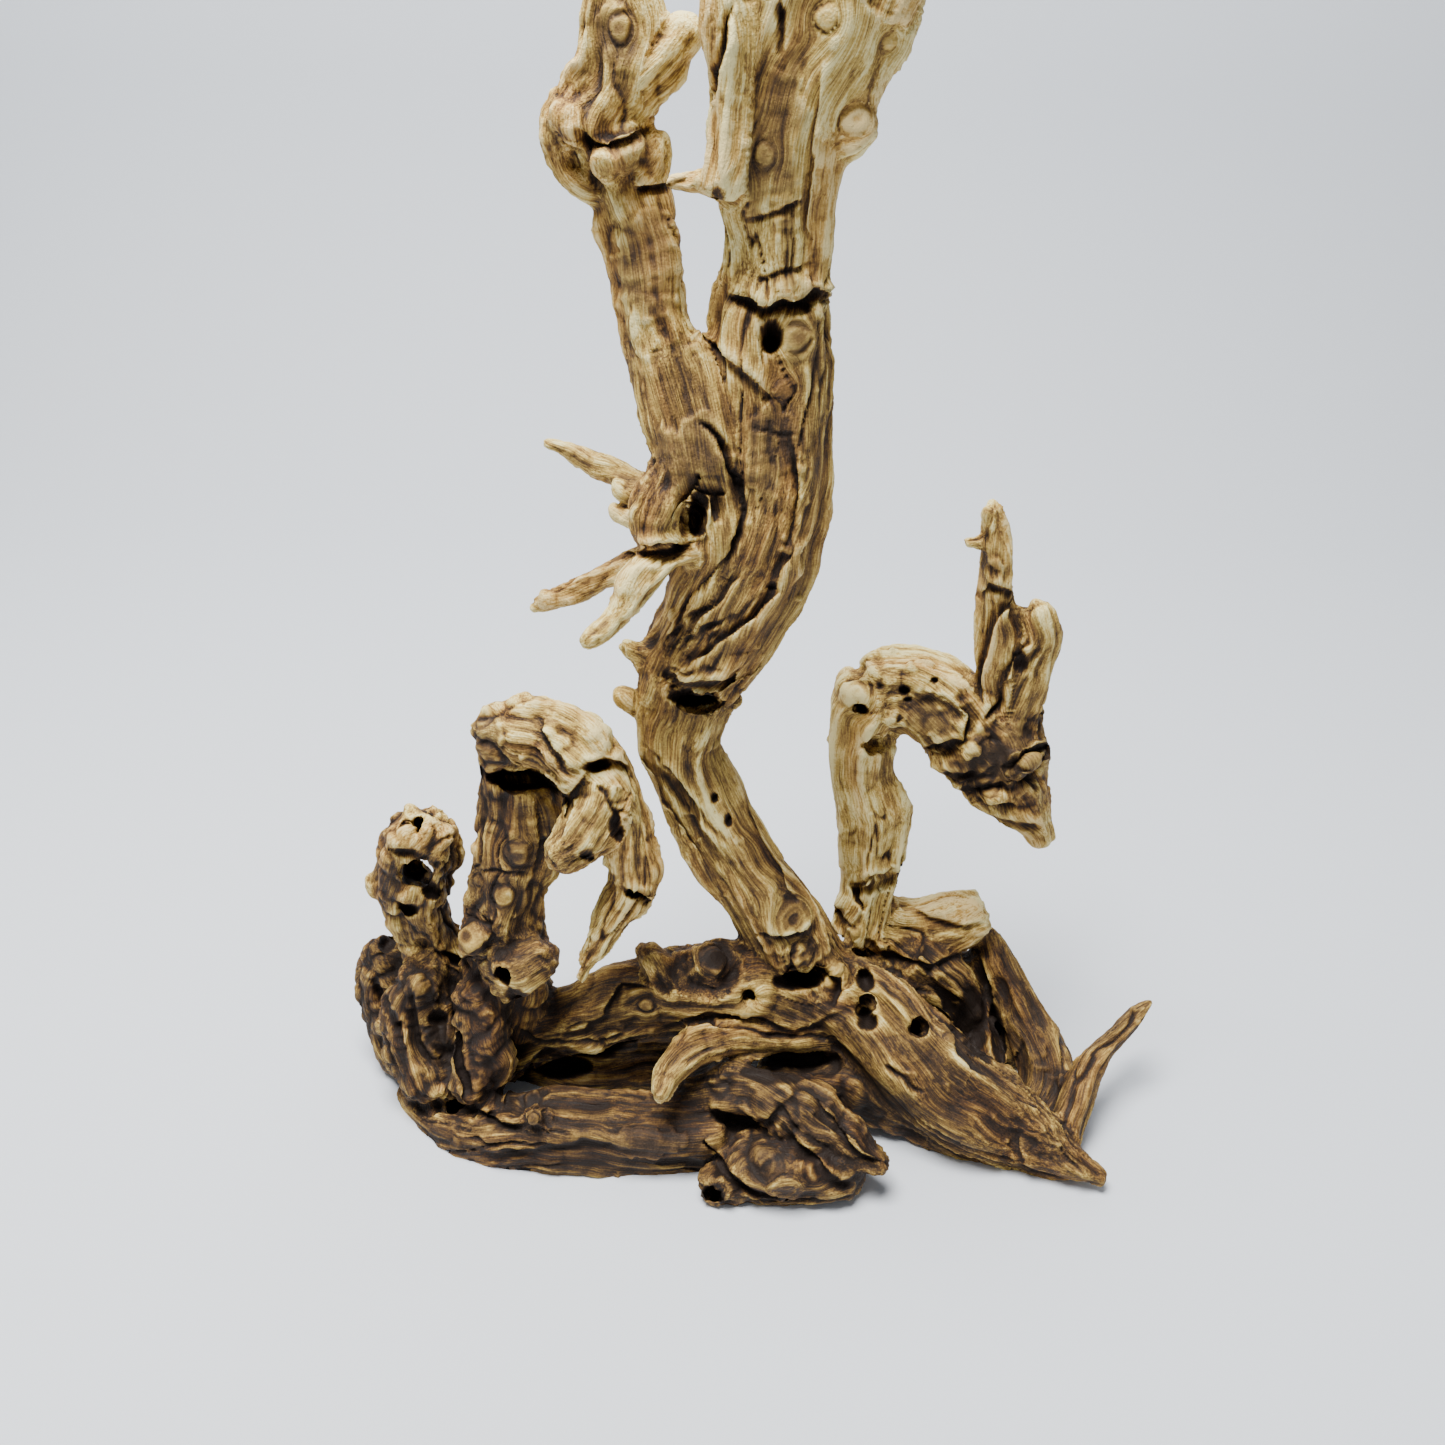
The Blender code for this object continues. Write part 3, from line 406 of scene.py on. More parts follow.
# Folds: how far the lip stands out and how far the wood beside it sinks, in millimetres, and the width of
# each in pixels, then the pixels along the fold. The lip is on the left of the line as it is drawn.
PHOTO_FOLDS = (
    (1.0, 1.6, 12, (789, 433), (799, 463), (800, 513), (792, 552), (773, 588)),
    (1.2, 3.4, 12, (779, 590), (755, 619), (722, 645), (690, 663)),
    (0.9, 2.2, 10, (744, 574), (716, 606), (689, 632), (672, 655)),
    (2.2, 5.0, 18, (661, 668), (682, 679), (709, 680), (744, 667)),
    (1.6, 3.6, 16, (646, 748), (676, 781), (696, 811), (709, 841), (726, 861)),
    (1.0, 2.0, 12, (709, 871), (682, 838), (659, 798), (643, 761)),
    (1.0, 1.4, 12, (742, 788), (762, 838), (785, 878), (800, 905)),
    (1.8, 4.4, 16, (626, 549), (656, 547), (676, 547), (694, 541)),
    (1.5, 4.0, 14, (712, 525), (709, 500), (696, 495), (686, 510)),
    (1.0, 2.0, 10, (722, 570), (700, 590), (688, 612), (676, 640)),
    (2.0, 4.4, 16, (726, 292), (749, 297), (764, 305), (782, 299), (800, 297), (815, 286), (833, 294)),
    (1.3, 1.5, 14, (703, 334), (728, 355), (754, 378), (778, 404)),
    (1.2, 1.0, 14, (825, 59), (818, 102), (815, 153), (812, 230), (810, 265)),
    (0.9, 1.5, 12, (733, 0), (723, 64), (713, 97), (715, 153), (722, 190)),
    (1.4, 3.4, 16, (575, 124), (595, 141), (616, 143), (650, 128)),
    (1.2, 2.4, 12, (634, 184), (652, 186), (668, 180)),
    (1.6, 3.8, 14, (924, 732), (934, 745), (949, 745), (961, 735), (966, 719), (963, 706)),
    (1.2, 1.6, 12, (917, 690), (940, 697), (958, 708), (969, 724)),
    (1.8, 4.6, 18, (1000, 766), (1018, 753), (1036, 742), (1056, 738)),
    (1.6, 3.0, 12, (1058, 757), (1036, 769), (1014, 778)),
    (1.4, 3.0, 12, (921, 748), (940, 769), (958, 772), (980, 772)),
    (1.2, 2.6, 12, (944, 796), (970, 789), (1000, 783), (1020, 786)),
    (1.2, 2.6, 12, (949, 804), (982, 808), (1004, 820), (1030, 821), (1046, 826)),
    (1.4, 3.0, 12, (975, 592), (988, 584), (1003, 587), (1016, 592)),
    (1.4, 2.6, 14, (1021, 596), (1000, 617), (993, 640), (985, 680), (984, 706)),
    (1.0, 2.4, 10, (1034, 642), (1015, 656), (1006, 678), (1002, 700)),
    (1.0, 1.8, 9, (988, 656), (983, 686), (979, 712)),
    (2.2, 4.6, 16, (846, 882), (859, 885), (880, 881), (898, 872), (905, 860)),
    (1.4, 3.4, 14, (864, 916), (851, 903), (848, 887)),
    (1.0, 1.6, 12, (908, 903), (930, 918), (958, 924), (984, 922)),
    (1.6, 3.6, 14, (862, 940), (887, 951), (931, 961), (966, 951)),
    (2.0, 6.0, 20, (493, 766), (526, 770), (549, 783), (569, 790), (586, 774)),
    (1.4, 1.6, 14, (539, 714), (546, 733), (565, 757), (586, 771)),
    (1.8, 4.4, 16, (586, 762), (605, 757), (620, 759), (634, 768)),
    (1.6, 4.2, 12, (622, 886), (638, 890), (658, 903)),
    (1.8, 3.4, 14, (441, 949), (463, 956), (482, 946), (490, 930)),
    (1.4, 3.0, 12, (390, 847), (410, 846), (430, 856)),
    (1.4, 3.6, 14, (467, 1108), (457, 1074), (455, 1035), (450, 1008), (448, 976)),
    (1.2, 3.0, 12, (411, 978), (416, 1008), (423, 1041), (434, 1066)),
    (1.2, 2.8, 12, (378, 975), (390, 1000), (404, 1030), (408, 1056)),
    (1.6, 3.6, 14, (498, 1112), (520, 1070), (545, 1045), (572, 1048), (605, 1045), (655, 1034)),
    (1.0, 2.2, 10, (560, 1030), (585, 1029), (602, 1014), (625, 984), (660, 986)),
    (1.0, 1.8, 12, (480, 1150), (512, 1152), (555, 1142), (600, 1140), (650, 1148)),
    (1.8, 3.6, 14, (472, 1102), (499, 1120), (527, 1124)),
    (1.2, 2.2, 14, (760, 930), (785, 936), (809, 931), (818, 912)),
    (1.8, 4.6, 16, (789, 960), (802, 972), (820, 958)),
    (1.2, 3.4, 12, (826, 893), (839, 911), (850, 932)),
    (1.4, 2.8, 14, (826, 966), (842, 974), (845, 992), (833, 1006)),
    (2.0, 4.4, 18, (992, 1077), (970, 1071), (959, 1053), (951, 1029), (941, 999), (926, 985)),
    (1.8, 4.4, 16, (983, 960), (990, 992), (1002, 1019), (1009, 1049), (1004, 1067)),
    (1.0, 1.6, 12, (1018, 1138), (1022, 1152), (1026, 1166)),
    (1.8, 4.0, 14, (707, 1106), (734, 1116), (765, 1120), (780, 1108)),
    (1.6, 3.4, 14, (785, 1120), (809, 1150), (832, 1170), (854, 1184)),
    (1.4, 2.8, 12, (812, 1094), (839, 1121), (866, 1154), (892, 1164)),
    (1.6, 3.4, 14, (664, 1154), (694, 1158), (717, 1152), (745, 1181), (778, 1191), (819, 1190)),
    (1.0, 1.8, 12, (650, 1032), (684, 1016), (724, 1009), (762, 1016), (792, 1032), (846, 1006)),
)

# Holes: the pixel of the middle, the half width and half height in pixels, and the depth in millimetres.
PHOTO_HOLES = (
    (772, 587, 6, 4, 4), (770, 344, 9, 9, 6), (700, 504, 8, 12, 7), (694, 697, 26, 9, 10),
    (714, 798, 4, 6, 4), (805, 734, 4, 14, 4), (828, 693, 4, 6, 5), (861, 707, 6, 8, 6), (935, 680, 4, 4, 4),
    (905, 691, 6, 5, 5), (908, 700, 4, 3, 3), (880, 686, 3, 3, 2), (899, 719, 3, 3, 2), (1021, 662, 7, 11, 4),
    (797, 978, 27, 9, 9), (866, 981, 9, 10, 9), (866, 1018, 10, 8, 9), (913, 1028, 6, 7, 7),
    (753, 999, 6, 6, 5), (788, 1056, 48, 9, 4), (974, 1020, 18, 34, 7), (998, 1035, 8, 28, 9),
    (509, 972, 6, 5, 6), (518, 995, 14, 8, 7), (563, 1067, 30, 10, 10), (461, 1104, 11, 8, 8),
    (492, 1115, 6, 4, 4), (387, 943, 8, 8, 6), (438, 1017, 8, 8, 5), (515, 776, 26, 10, 9),
    (596, 766, 15, 6, 5), (617, 827, 7, 16, 6), (612, 878, 5, 5, 3), (409, 873, 12, 10, 9),
    (429, 889, 8, 12, 8), (408, 908, 11, 7, 7), (418, 828, 8, 11, 6), (455, 815, 10, 7, 6),
    (714, 1193, 11, 9, 8), (718, 194, 7, 6, 5), (771, 337, 12, 15, 8), (640, 894, 16, 5, 5),
    (718, 957, 16, 13, 2), (586, 856, 8, 7, 5), (696, 520, 9, 18, 8), (727, 820, 5, 7, 4),
    (530, 780, 30, 9, 9),
)

# Knots: the pixel of the middle, and the radius in pixels.
PHOTO_KNOTS = (
    (784, 389, 10), (825, 18, 12), (765, 154, 11), (857, 120, 15), (888, 42, 8), (796, 338, 14),
    (620, 29, 14), (645, 1006, 9), (531, 1095, 10), (533, 1120, 9), (856, 934, 6), (802, 955, 13),
    (836, 976, 14), (768, 1166, 14), (817, 1169, 13), (475, 987, 15), (429, 993, 15), (487, 1019, 12),
    (438, 1039, 16), (475, 1073, 20), (482, 719, 12), (490, 755, 15), (478, 784, 11), (517, 855, 15),
    (502, 897, 13), (478, 879, 7), (468, 935, 15), (718, 957, 20), (949, 1039, 7), (793, 918, 20),
    (672, 223, 5), (677, 232, 4), (855, 694, 14), (988, 785, 12),
)

# Places that the sun has bleached or that stains have darkened: the pixel of the middle, the half width and
# half height in pixels, and how much paler the wood is there.
PHOTO_STAINS = (
    (715, 790, 70, 90, 0.20), (570, 725, 60, 40, 0.22), (470, 740, 40, 40, -0.12), (985, 775, 75, 50, -0.40),
    (860, 800, 40, 100, 0.06), (792, 918, 34, 24, 0.28), (720, 956, 24, 20, -0.14), (430, 825, 40, 22, 0.24),
    (424, 1080, 30, 30, 0.22), (900, 1000, 40, 50, 0.12), (930, 660, 50, 20, 0.16), (650, 590, 60, 40, 0.20),
    (740, 360, 50, 30, 0.18), (620, 1080, 40, 30, 0.10), (660, 1100, 30, 30, 0.20), (610, 940, 30, 50, 0.14),
    (930, 900, 40, 12, 0.16), (450, 1040, 60, 60, -0.10), (560, 870, 30, 40, -0.16),
    (1000, 1020, 30, 50, -0.12), (624, 697, 14, 14, -0.30), (880, 690, 50, 40, -0.14),
    (605, 160, 22, 22, -0.28), (780, 130, 40, 110, -0.12), (560, 130, 24, 30, -0.12),
)

# Craggy places: the pixel of the middle, the half width and half height in pixels, and how much lumpier the
# wood is there.
PHOTO_CRAGS = (
    (1000, 765, 70, 55, 1.0), (885, 690, 55, 45, 0.5), (480, 735, 45, 40, 0.8), (610, 130, 50, 60, 0.4),
    (640, 520, 40, 50, 0.3), (790, 960, 50, 30, 0.4), (595, 750, 30, 30, 0.3),
)

# Bark that is left: the pixel of the middle, and the half width and half height of the patch in pixels.
PHOTO_BARK = (
    (784, 120, 24, 60), (775, 175, 40, 40), (645, 265, 34, 50), (620, 30, 22, 30), (655, 110, 25, 24),
    (800, 290, 36, 12), (800, 330, 18, 20), (690, 455, 40, 40), (775, 450, 32, 40), (640, 150, 30, 22),
    (930, 720, 24, 16), (1000, 760, 60, 40), (480, 730, 30, 20), (650, 1145, 34, 18),
)

# Where the wood parts into its limbs: a point on the cut, the way across it, and the cut's half width.
FORKS = (
    ((15, 17, 92), (-0.5, 0.0, 0.86), 19),
    ((14.5, 16, 306), (0.0, 0.0, 1.0), 22),
    ((-23, 20, 302), (-0.25, 0.0, 0.97), 15),
    ((58, 43, 77), (0.0, 0.0, 1.0), 17),
    ((70, 46, 160), (1.0, 0.0, -0.25), 22),
    ((101.5, 42, 174), (0.0, 0.0, 1.0), 17),
    ((74, 13, 25), (1.0, 0.0, 0.0), 47),
    ((-61, -1, 18), (1.0, 0.0, 0.0), 47),
    ((-26, 7, 48), (0.92, 0.0, 0.4), 19),
    ((-14, -24, 6), (1.0, 0.0, 0.0), 26),
    ((-90, 10, 80), (0.0, 0.0, 1.0), 38),
    ((-73, 8, 152), (0.5, 0.0, 0.87), 24),
)
FORK_REACH = 4.0

# The block of ground, and how close to it the wood still rests on it
GROUND_SIZE = (500.0, 400.0, 100.0)
GROUND_TOUCH = 0.7

# A loose bit with fewer points than this is a crumb of a cut and no limb
CRUMB = 400

# The share by which what stands outside the solids' box is drawn back to it
DRAWN_IN = 0.65

# Passes of smoothing: of the fused skin, of the way that it is pushed, of its shape nearby and further round
# each place, which tell ridges from hollows, and of the tone from limb to limb
SKIN_PASSES = 3
PUSH_PASSES = 2
NEAR_PASSES = 14
FAR_PASSES = 46
TONE_PASSES = 160

# How far above or below its surroundings a place counts fully as a ridge or a hollow
RIDGE_HEIGHT = 0.5
CAVITY_DEPTH = 1.6

# Knots on the side that the photograph doesn't show: how many places are tried, the smallest and the largest
# radius, and the seed
HIDDEN_KNOTS = 26
HIDDEN_KNOT_SIZES = (2.5, 5.0)
HIDDEN_KNOT_SEED = 3

# From one ring of a knot to the next
KNOT_RING = 2.4

# How deep a drying check is, and how lumpy wood is at most
CHECK_DEPTH = 1.5
MOST_LUMPY = 1.2

# How far apart two limbs lie in the finish's grain pattern, so that it isn't the same on both
SPLIT_LIMBS = 61.7

# Each limb's node in the frame, a point inside its wood, and the record's slot for its finish.
LIMBS = {
    "foot": ((30, 12, 48), "brown_wood"),
    "trunk": ((15, 11, 250), "ochre_wood"),
    "crown": ((13, 13, 350), "straw_wood"),
    "left_fork": ((-25, 23, 318), "ochre_wood"),
    "arch_leg": ((58, 45, 105), "ochre_wood"),
    "arch_head": ((90, 43, 145), "dark_wood"),
    "horn": ((96, 42, 182), "ochre_wood"),
    "right_root": ((96, -16, 15), "brown_wood"),
    "middle_log": ((-45, 7, 38), "brown_wood"),
    "front_log": ((-40, -22, 7), "brown_wood"),
    "left_burl": ((-96, 12, 24), "dark_wood"),
    "small_tower": ((-109, 19, 88), "dark_wood"),
    "tower": ((-73, 8, 112), "brown_wood"),
    "crest": ((-52, 3, 160), "straw_wood"),
}


def linear(hex_colour):
    """A colour given as sRGB hex digits, turned to the linear values that shaders take."""
    parts = [int(hex_colour[i:i + 2], 16) / 255 for i in (0, 2, 4)]
    return [part / 12.92 if part <= 0.04045 else ((part + 0.055) / 1.055) ** 2.4 for part in parts]


def length(name, description, default, most):
    return FloatProperty(name=name, description=description, default=default * MM, min=0.0, max=most * MM,
                         unit="LENGTH", precision=5)


def colour(name, description, default):
    return FloatVectorProperty(name=name, description=description, default=linear(default), size=3, min=0.0,
                               max=1.0, subtype="COLOR")


class CoralWoodSizes(PropertyGroup):
    first_cell: length("First cell", "How finely the limbs are first fused", 1.6, 5)
    cell: length("Cell", "How finely the worn wood is meshed", 0.9, 5)
    ridge_depth: length("Ridge depth", "How far the grain stands up between its furrows", 1.3, 4)
    lump_height: length("Lump height", "How far the lumps of a burl stand up", 2.2, 6)
    pit_depth: length("Pit depth", "How deep rot has pitted the wood", 0.9, 4)
    bark_height: length("Bark height", "How thick the bark is where it has stayed", 0.7, 3)


class CoralWoodColours(PropertyGroup):
    # The furrow colour shows where the painted shade of cracks, holes and folds is deepest
    furrow: colour("Furrow", "The near-black brown at the bottom of cracks", "20140a")
    brown: colour("Brown wood", "The brown of the low, stained wood", "48321a")
    ochre: colour("Ochre wood", "The middle tone of bare wood", "836430")
    # Ridges reach straw partly as worn wood and partly through a painted highlight on raised wood
    straw: colour("Straw wood", "The pale tone of worn ridges", "c6a656")
    raw: colour("Raw wood", "The palest wood, at breaks and edges", "ecdc9a")
    bark: colour("Bark", "The purple-brown of what bark is left", "5e4832")


class CoralWoodStage(PropertyGroup):
    floor: colour("Floor", "The plain pale floor", "dfe3e8")
    sky: colour("Light", "The soft light from all round", "dfe6f0")
    sky_strength: FloatProperty(name="Light strength", description="How strong the light from all round is",
                                default=0.33, min=0.0, max=5.0)
    lamp_power: FloatProperty(name="Lamp power", description="How strong the wide lamp overhead is",
                              default=34.0, min=0.0, max=500.0, unit="POWER")


def camera_axes():
    """The camera's right, up and forward directions."""
    pitch = math.radians(CAMERA_PITCH)
    roll = math.radians(CAMERA_ROLL)
    level = np.array((1.0, 0.0, 0.0))
    raised = np.array((0.0, math.sin(pitch), math.cos(pitch)))
    forward = np.array((0.0, math.cos(pitch), -math.sin(pitch)))
    right = math.cos(roll) * level + math.sin(roll) * raised
    up = math.cos(roll) * raised - math.sin(roll) * level
    return right, up, forward


def photo_ray(u, v):
    """The direction in which the camera saw a pixel of the photograph."""
    right, up, forward = camera_axes()
    way = forward * FOCAL_PIXELS + right * (u - PHOTO_SIDE / 2) + up * (PHOTO_SIDE / 2 - v)
    return way / np.linalg.norm(way)


def unit(rows):
    return rows / np.linalg.norm(rows, axis=-1, keepdims=True)


# A limb's centre line: places along it with their own axes, half widths and distance from the start.
Line = namedtuple("Line", "middles forward side across halves along")


def centre_line(stations, spacing):
    """A smooth curve through a limb's stations, with two axes across it that don't twist."""
    given = np.array(stations, float)
    held = np.vstack([2 * given[0] - given[1], given, 2 * given[-1] - given[-2]])
    path = []
    for before, start, end, after in zip(held, held[1:], held[2:], held[3:]):
        count = max(2, int(np.linalg.norm((end - start)[:3]) / spacing))
        for t in np.arange(count) / count:
            bend = 2 * before - 5 * start + 4 * end - after
            swing = 3 * start - before - 3 * end + after
            path.append(start + 0.5 * ((end - before) * t + bend * t**2 + swing * t**3))
    path.append(given[-1])
    path = np.array(path)
    middles = path[:, :3]
    forward = unit(np.vstack([middles[1:], middles[-1:]]) - np.vstack([middles[:1], middles[:-1]]))
    way = np.array((1.0, 0.0, 0.0) if abs(forward[0][1]) > 0.9 else (0.0, 1.0, 0.0))
    across = []
    for ahead in forward:
        way = unit(way - ahead * (way @ ahead))
        across.append(way)
    across = np.array(across)
    steps = np.linalg.norm(np.diff(middles, axis=0), axis=1)
    along = np.concatenate([[0.0], np.cumsum(steps)])
    halves = np.maximum(path[:, 3:], LEAST_RADIUS)
    return Line(middles, forward, np.cross(forward, across), across, halves, along)


def loft_limb(stations, phase):
    """Points and faces of a closed, fluted tube along a limb, with a blunt point at each end."""
    line = centre_line(stations, RING_SPACING)
    angles = 2 * math.pi * np.arange(RING_POINTS) / RING_POINTS
    twist = FLUTE_TWIST * line.along[:, None]
    broad = np.cos(FLUTES * angles + twist + phase)
    fine = np.cos((2 * FLUTES + 1) * angles - twist / 2 + 2 * phase)
    reach = 1 + FLUTE_DEPTH * (broad + FINE_FLUTE_SHARE * fine)
    wide = (line.halves[:, :1] * np.cos(angles) * reach)[..., None] * line.side[:, None]
    deep = (line.halves[:, 1:] * np.sin(angles) * reach)[..., None] * line.across[:, None]
    rings = line.middles[:, None] + wide + deep
    first_tip = line.middles[0] - line.forward[0] * line.halves[0].min() / 2
    last_tip = line.middles[-1] + line.forward[-1] * line.halves[-1].min() / 2
    points = np.vstack([rings.reshape(-1, 3), first_tip, last_tip])
    faces = []
    last = (len(rings) - 1) * RING_POINTS
    for k in range(RING_POINTS):
        j = (k + 1) % RING_POINTS
        for low in range(0, last, RING_POINTS):
            faces.append((low + k, low + j, low + RING_POINTS + j, low + RING_POINTS + k))
        faces.append((j, k, len(points) - 2))
        faces.append((last + k, last + j, len(points) - 1))
    return points, faces


def deselect_all():
    bpy.ops.object.select_all(action="DESELECT")


def make_active(thing):
    deselect_all()
    thing.select_set(True)
    bpy.context.view_layer.objects.active = thing


def new_object(name, points, faces):
    """An object from points in the tables' millimetres."""
    mesh_data = bpy.data.meshes.new(name)
    mesh_data.from_pydata(((points - FOOTPRINT_MIDDLE) * MM).tolist(), [], faces)
    thing = bpy.data.objects.new(name, mesh_data)
    bpy.context.scene.collection.objects.link(thing)
    return thing


def apply_modifier(thing, kind, **settings):
    """Adds a modifier and applies it, as in the modifier panel."""
    make_active(thing)
    modifier = thing.modifiers.new(kind.title(), kind)
    for name, value in settings.items():
        setattr(modifier, name, value)
    bpy.ops.object.modifier_apply(modifier=modifier.name)


def turn_faces_out(thing):
    bm = bmesh.new()
    bm.from_mesh(thing.data)
    bmesh.ops.recalc_face_normals(bm, faces=bm.faces)
    bm.to_mesh(thing.data)
    bm.free()


def all_limbs():
    """Every limb's stations, with the way in which its group has weathered."""
    return [(limb, wear) for group, wear in LIMB_GROUPS for limb in group()]


def round_stone(middle, halves, slope=0.0):
    """Points and faces of an egg shape."""
    bm = bmesh.new()
    bmesh.ops.create_icosphere(bm, subdivisions=3, radius=1.0)
    turn = np.array(Matrix.Rotation(-math.radians(slope), 3, "X"))
    points = np.array([vert.co for vert in bm.verts]) * halves @ turn.T + middle
    faces = [tuple(vert.index for vert in face.verts) for face in bm.faces]
    bm.free()
    return points, faces


def join_shapes(name, shapes):
    """One object of many closed shapes."""
    points = []
    faces = []
    count = 0
    for shape_points, shape_faces in shapes:
        points.append(shape_points)
        faces += [tuple(index + count for index in face) for face in shape_faces]
        count += len(shape_points)
    thing = new_object(name, np.vstack(points), faces)
    turn_faces_out(thing)
    return thing


def knob_shapes():
    shapes = []
    for middle, count, radius, reach, seed in KNOB_GROUPS:
        random = np.random.default_rng(seed)
        for _ in range(count):
            way = unit(random.normal(size=3))
            size = radius * random.uniform(*KNOB_SIZES)
            shapes.append(round_stone(np.array(middle) + way * reach, size))
    return shapes


def grow_limbs(sizes):
    """All limbs and knobs as one skin, with the hollows taken out."""
    shapes = [loft_limb(limb, PHASE_STEP * number) for number, (limb, _) in enumerate(all_limbs())]
    wood = join_shapes("coral_wood", shapes + knob_shapes())
    apply_modifier(wood, "REMESH", mode="VOXEL", voxel_size=sizes.first_cell)
    stones = [round_stone(middle, halves, HOLLOW_SLOPE) for middle, halves in HOLLOWS]
    hollows = join_shapes("hollows", stones)
    apply_modifier(hollows, "REMESH", mode="VOXEL", voxel_size=sizes.first_cell)
    apply_modifier(wood, "BOOLEAN", operation="DIFFERENCE", solver="MANIFOLD", object=hollows)
    bpy.data.objects.remove(hollows)
    ground = make_ground()
    apply_modifier(wood, "BOOLEAN", operation="DIFFERENCE", solver="MANIFOLD", object=ground)
    bpy.data.objects.remove(ground)
    apply_modifier(wood, "REMESH", mode="VOXEL", voxel_size=sizes.cell)
    return keep_largest(wood)


def make_ground():
    """The block of ground that the wood would reach into: all of the wood in it is cut off flat."""
    deselect_all()
    bpy.ops.mesh.primitive_cube_add(size=1, location=(0, 0, -GROUND_SIZE[2] / 2 * MM))
    ground = bpy.context.active_object
    ground.scale = Vector(GROUND_SIZE) * MM
    bpy.ops.object.transform_apply(location=True, rotation=False, scale=True)
    return ground


def keep_largest(thing):
    """Drops loose crumbs and the skins of closed pockets."""
    make_active(thing)
    bpy.ops.mesh.separate(type="LOOSE")
    parts = list(bpy.context.selected_objects)
    largest = max(parts, key=lambda part: len(part.data.vertices))
    for part in parts:
        if part is not largest:
            bpy.data.objects.remove(part)
    return largest


class Skin:
    """The wood's mesh as arrays: its points in the tables' millimetres, its edges and its normals."""

    def __init__(self, thing):
        self.mesh_data = thing.data
        count = len(self.mesh_data.vertices)
        flat = np.empty(count * 3, np.float32)
        self.mesh_data.vertices.foreach_get("co", flat)
        self.points = flat.reshape(-1, 3).astype(float) / MM + FOOTPRINT_MIDDLE
        pairs = np.empty(len(self.mesh_data.edges) * 2, np.int32)
        self.mesh_data.edges.foreach_get("vertices", pairs)
        self.starts, self.ends = pairs.reshape(-1, 2).T
        neighbours = np.bincount(self.starts, minlength=count) + np.bincount(self.ends, minlength=count)
        self.neighbours = np.maximum(neighbours, 1).astype(float)
        self.find_normals()

    def spread(self, values):
        """Each point's value as the mean of its neighbours'."""
        total = np.bincount(self.starts, values[self.ends], len(values))
        total += np.bincount(self.ends, values[self.starts], len(values))
        return total / self.neighbours

    def smooth(self, values, passes):
        for _ in range(passes):
            values = (values + self.spread(values)) / 2
        return values

    def smooth_rows(self, rows, passes):
        return np.stack([self.smooth(column, passes) for column in rows.T], axis=1)

    def write(self):
        flat = ((self.points - FOOTPRINT_MIDDLE) * MM).astype(np.float32).ravel()
        self.mesh_data.vertices.foreach_set("co", flat)
        self.mesh_data.update()
        self.find_normals()

    def find_normals(self):
        flat = np.empty(len(self.mesh_data.vertices) * 3, np.float32)
        self.mesh_data.vertices.foreach_get("normal", flat)
        self.normals = flat.reshape(-1, 3).astype(float)

    def push(self, heights):
        """Moves the points along their smoothed normals."""
        self.points += unit(self.smooth_rows(self.normals, PUSH_PASSES) + 1e-9) * heights[:, None]
        self.write()


def hashed(cells, seed):
    """A random value from -1 to 1 for each whole-number place."""
    x, y, z = cells.astype(np.uint32).T
    mixed = x * np.uint32(374761393) + y * np.uint32(668265263) + z * np.uint32(2246822519)
    mixed = mixed + np.uint32(seed * 3266489917 % 2**32)
    mixed = (mixed ^ (mixed >> np.uint32(15))) * np.uint32(2654435761)
    mixed = (mixed ^ (mixed >> np.uint32(13))) * np.uint32(1274126177)
    return ((mixed ^ (mixed >> np.uint32(16))) & np.uint32(0xFFFF)).astype(float) / 0x7FFF - 1


def noise(places, seed):
    """Smooth random values, about -1 to 1, with lumps one unit across."""
    cells = np.floor(places).astype(np.int64)
    share = places - cells
    share = share * share * (3 - 2 * share)
    total = np.zeros(len(places))
    for corner in np.ndindex(2, 2, 2):
        weight = np.prod(np.where(corner, share, 1 - share), axis=1)
        total += weight * hashed(cells + corner, seed)
    return total


def step(values, low, high):
    """0 below low, 1 above high, and smooth between."""
    share = np.clip((values - low) / (high - low), 0, 1)
    return share * share * (3 - 2 * share)


# How the grain is measured from a limb's centre line: the spacing of its places, how far off wood may be,
# over what distance one limb's grain gives way to the next one's, and its twist in radians a millimetre
GRAIN_SPACING = 1.5
GRAIN_MARGIN = 9.0
GRAIN_BLEND = 1.4
GRAIN_TWIST = 0.006
FAR = 1e6

# How far each limb's noise is shifted from the last one's, so that no two limbs are alike
LIMB_SHIFT = 7.3


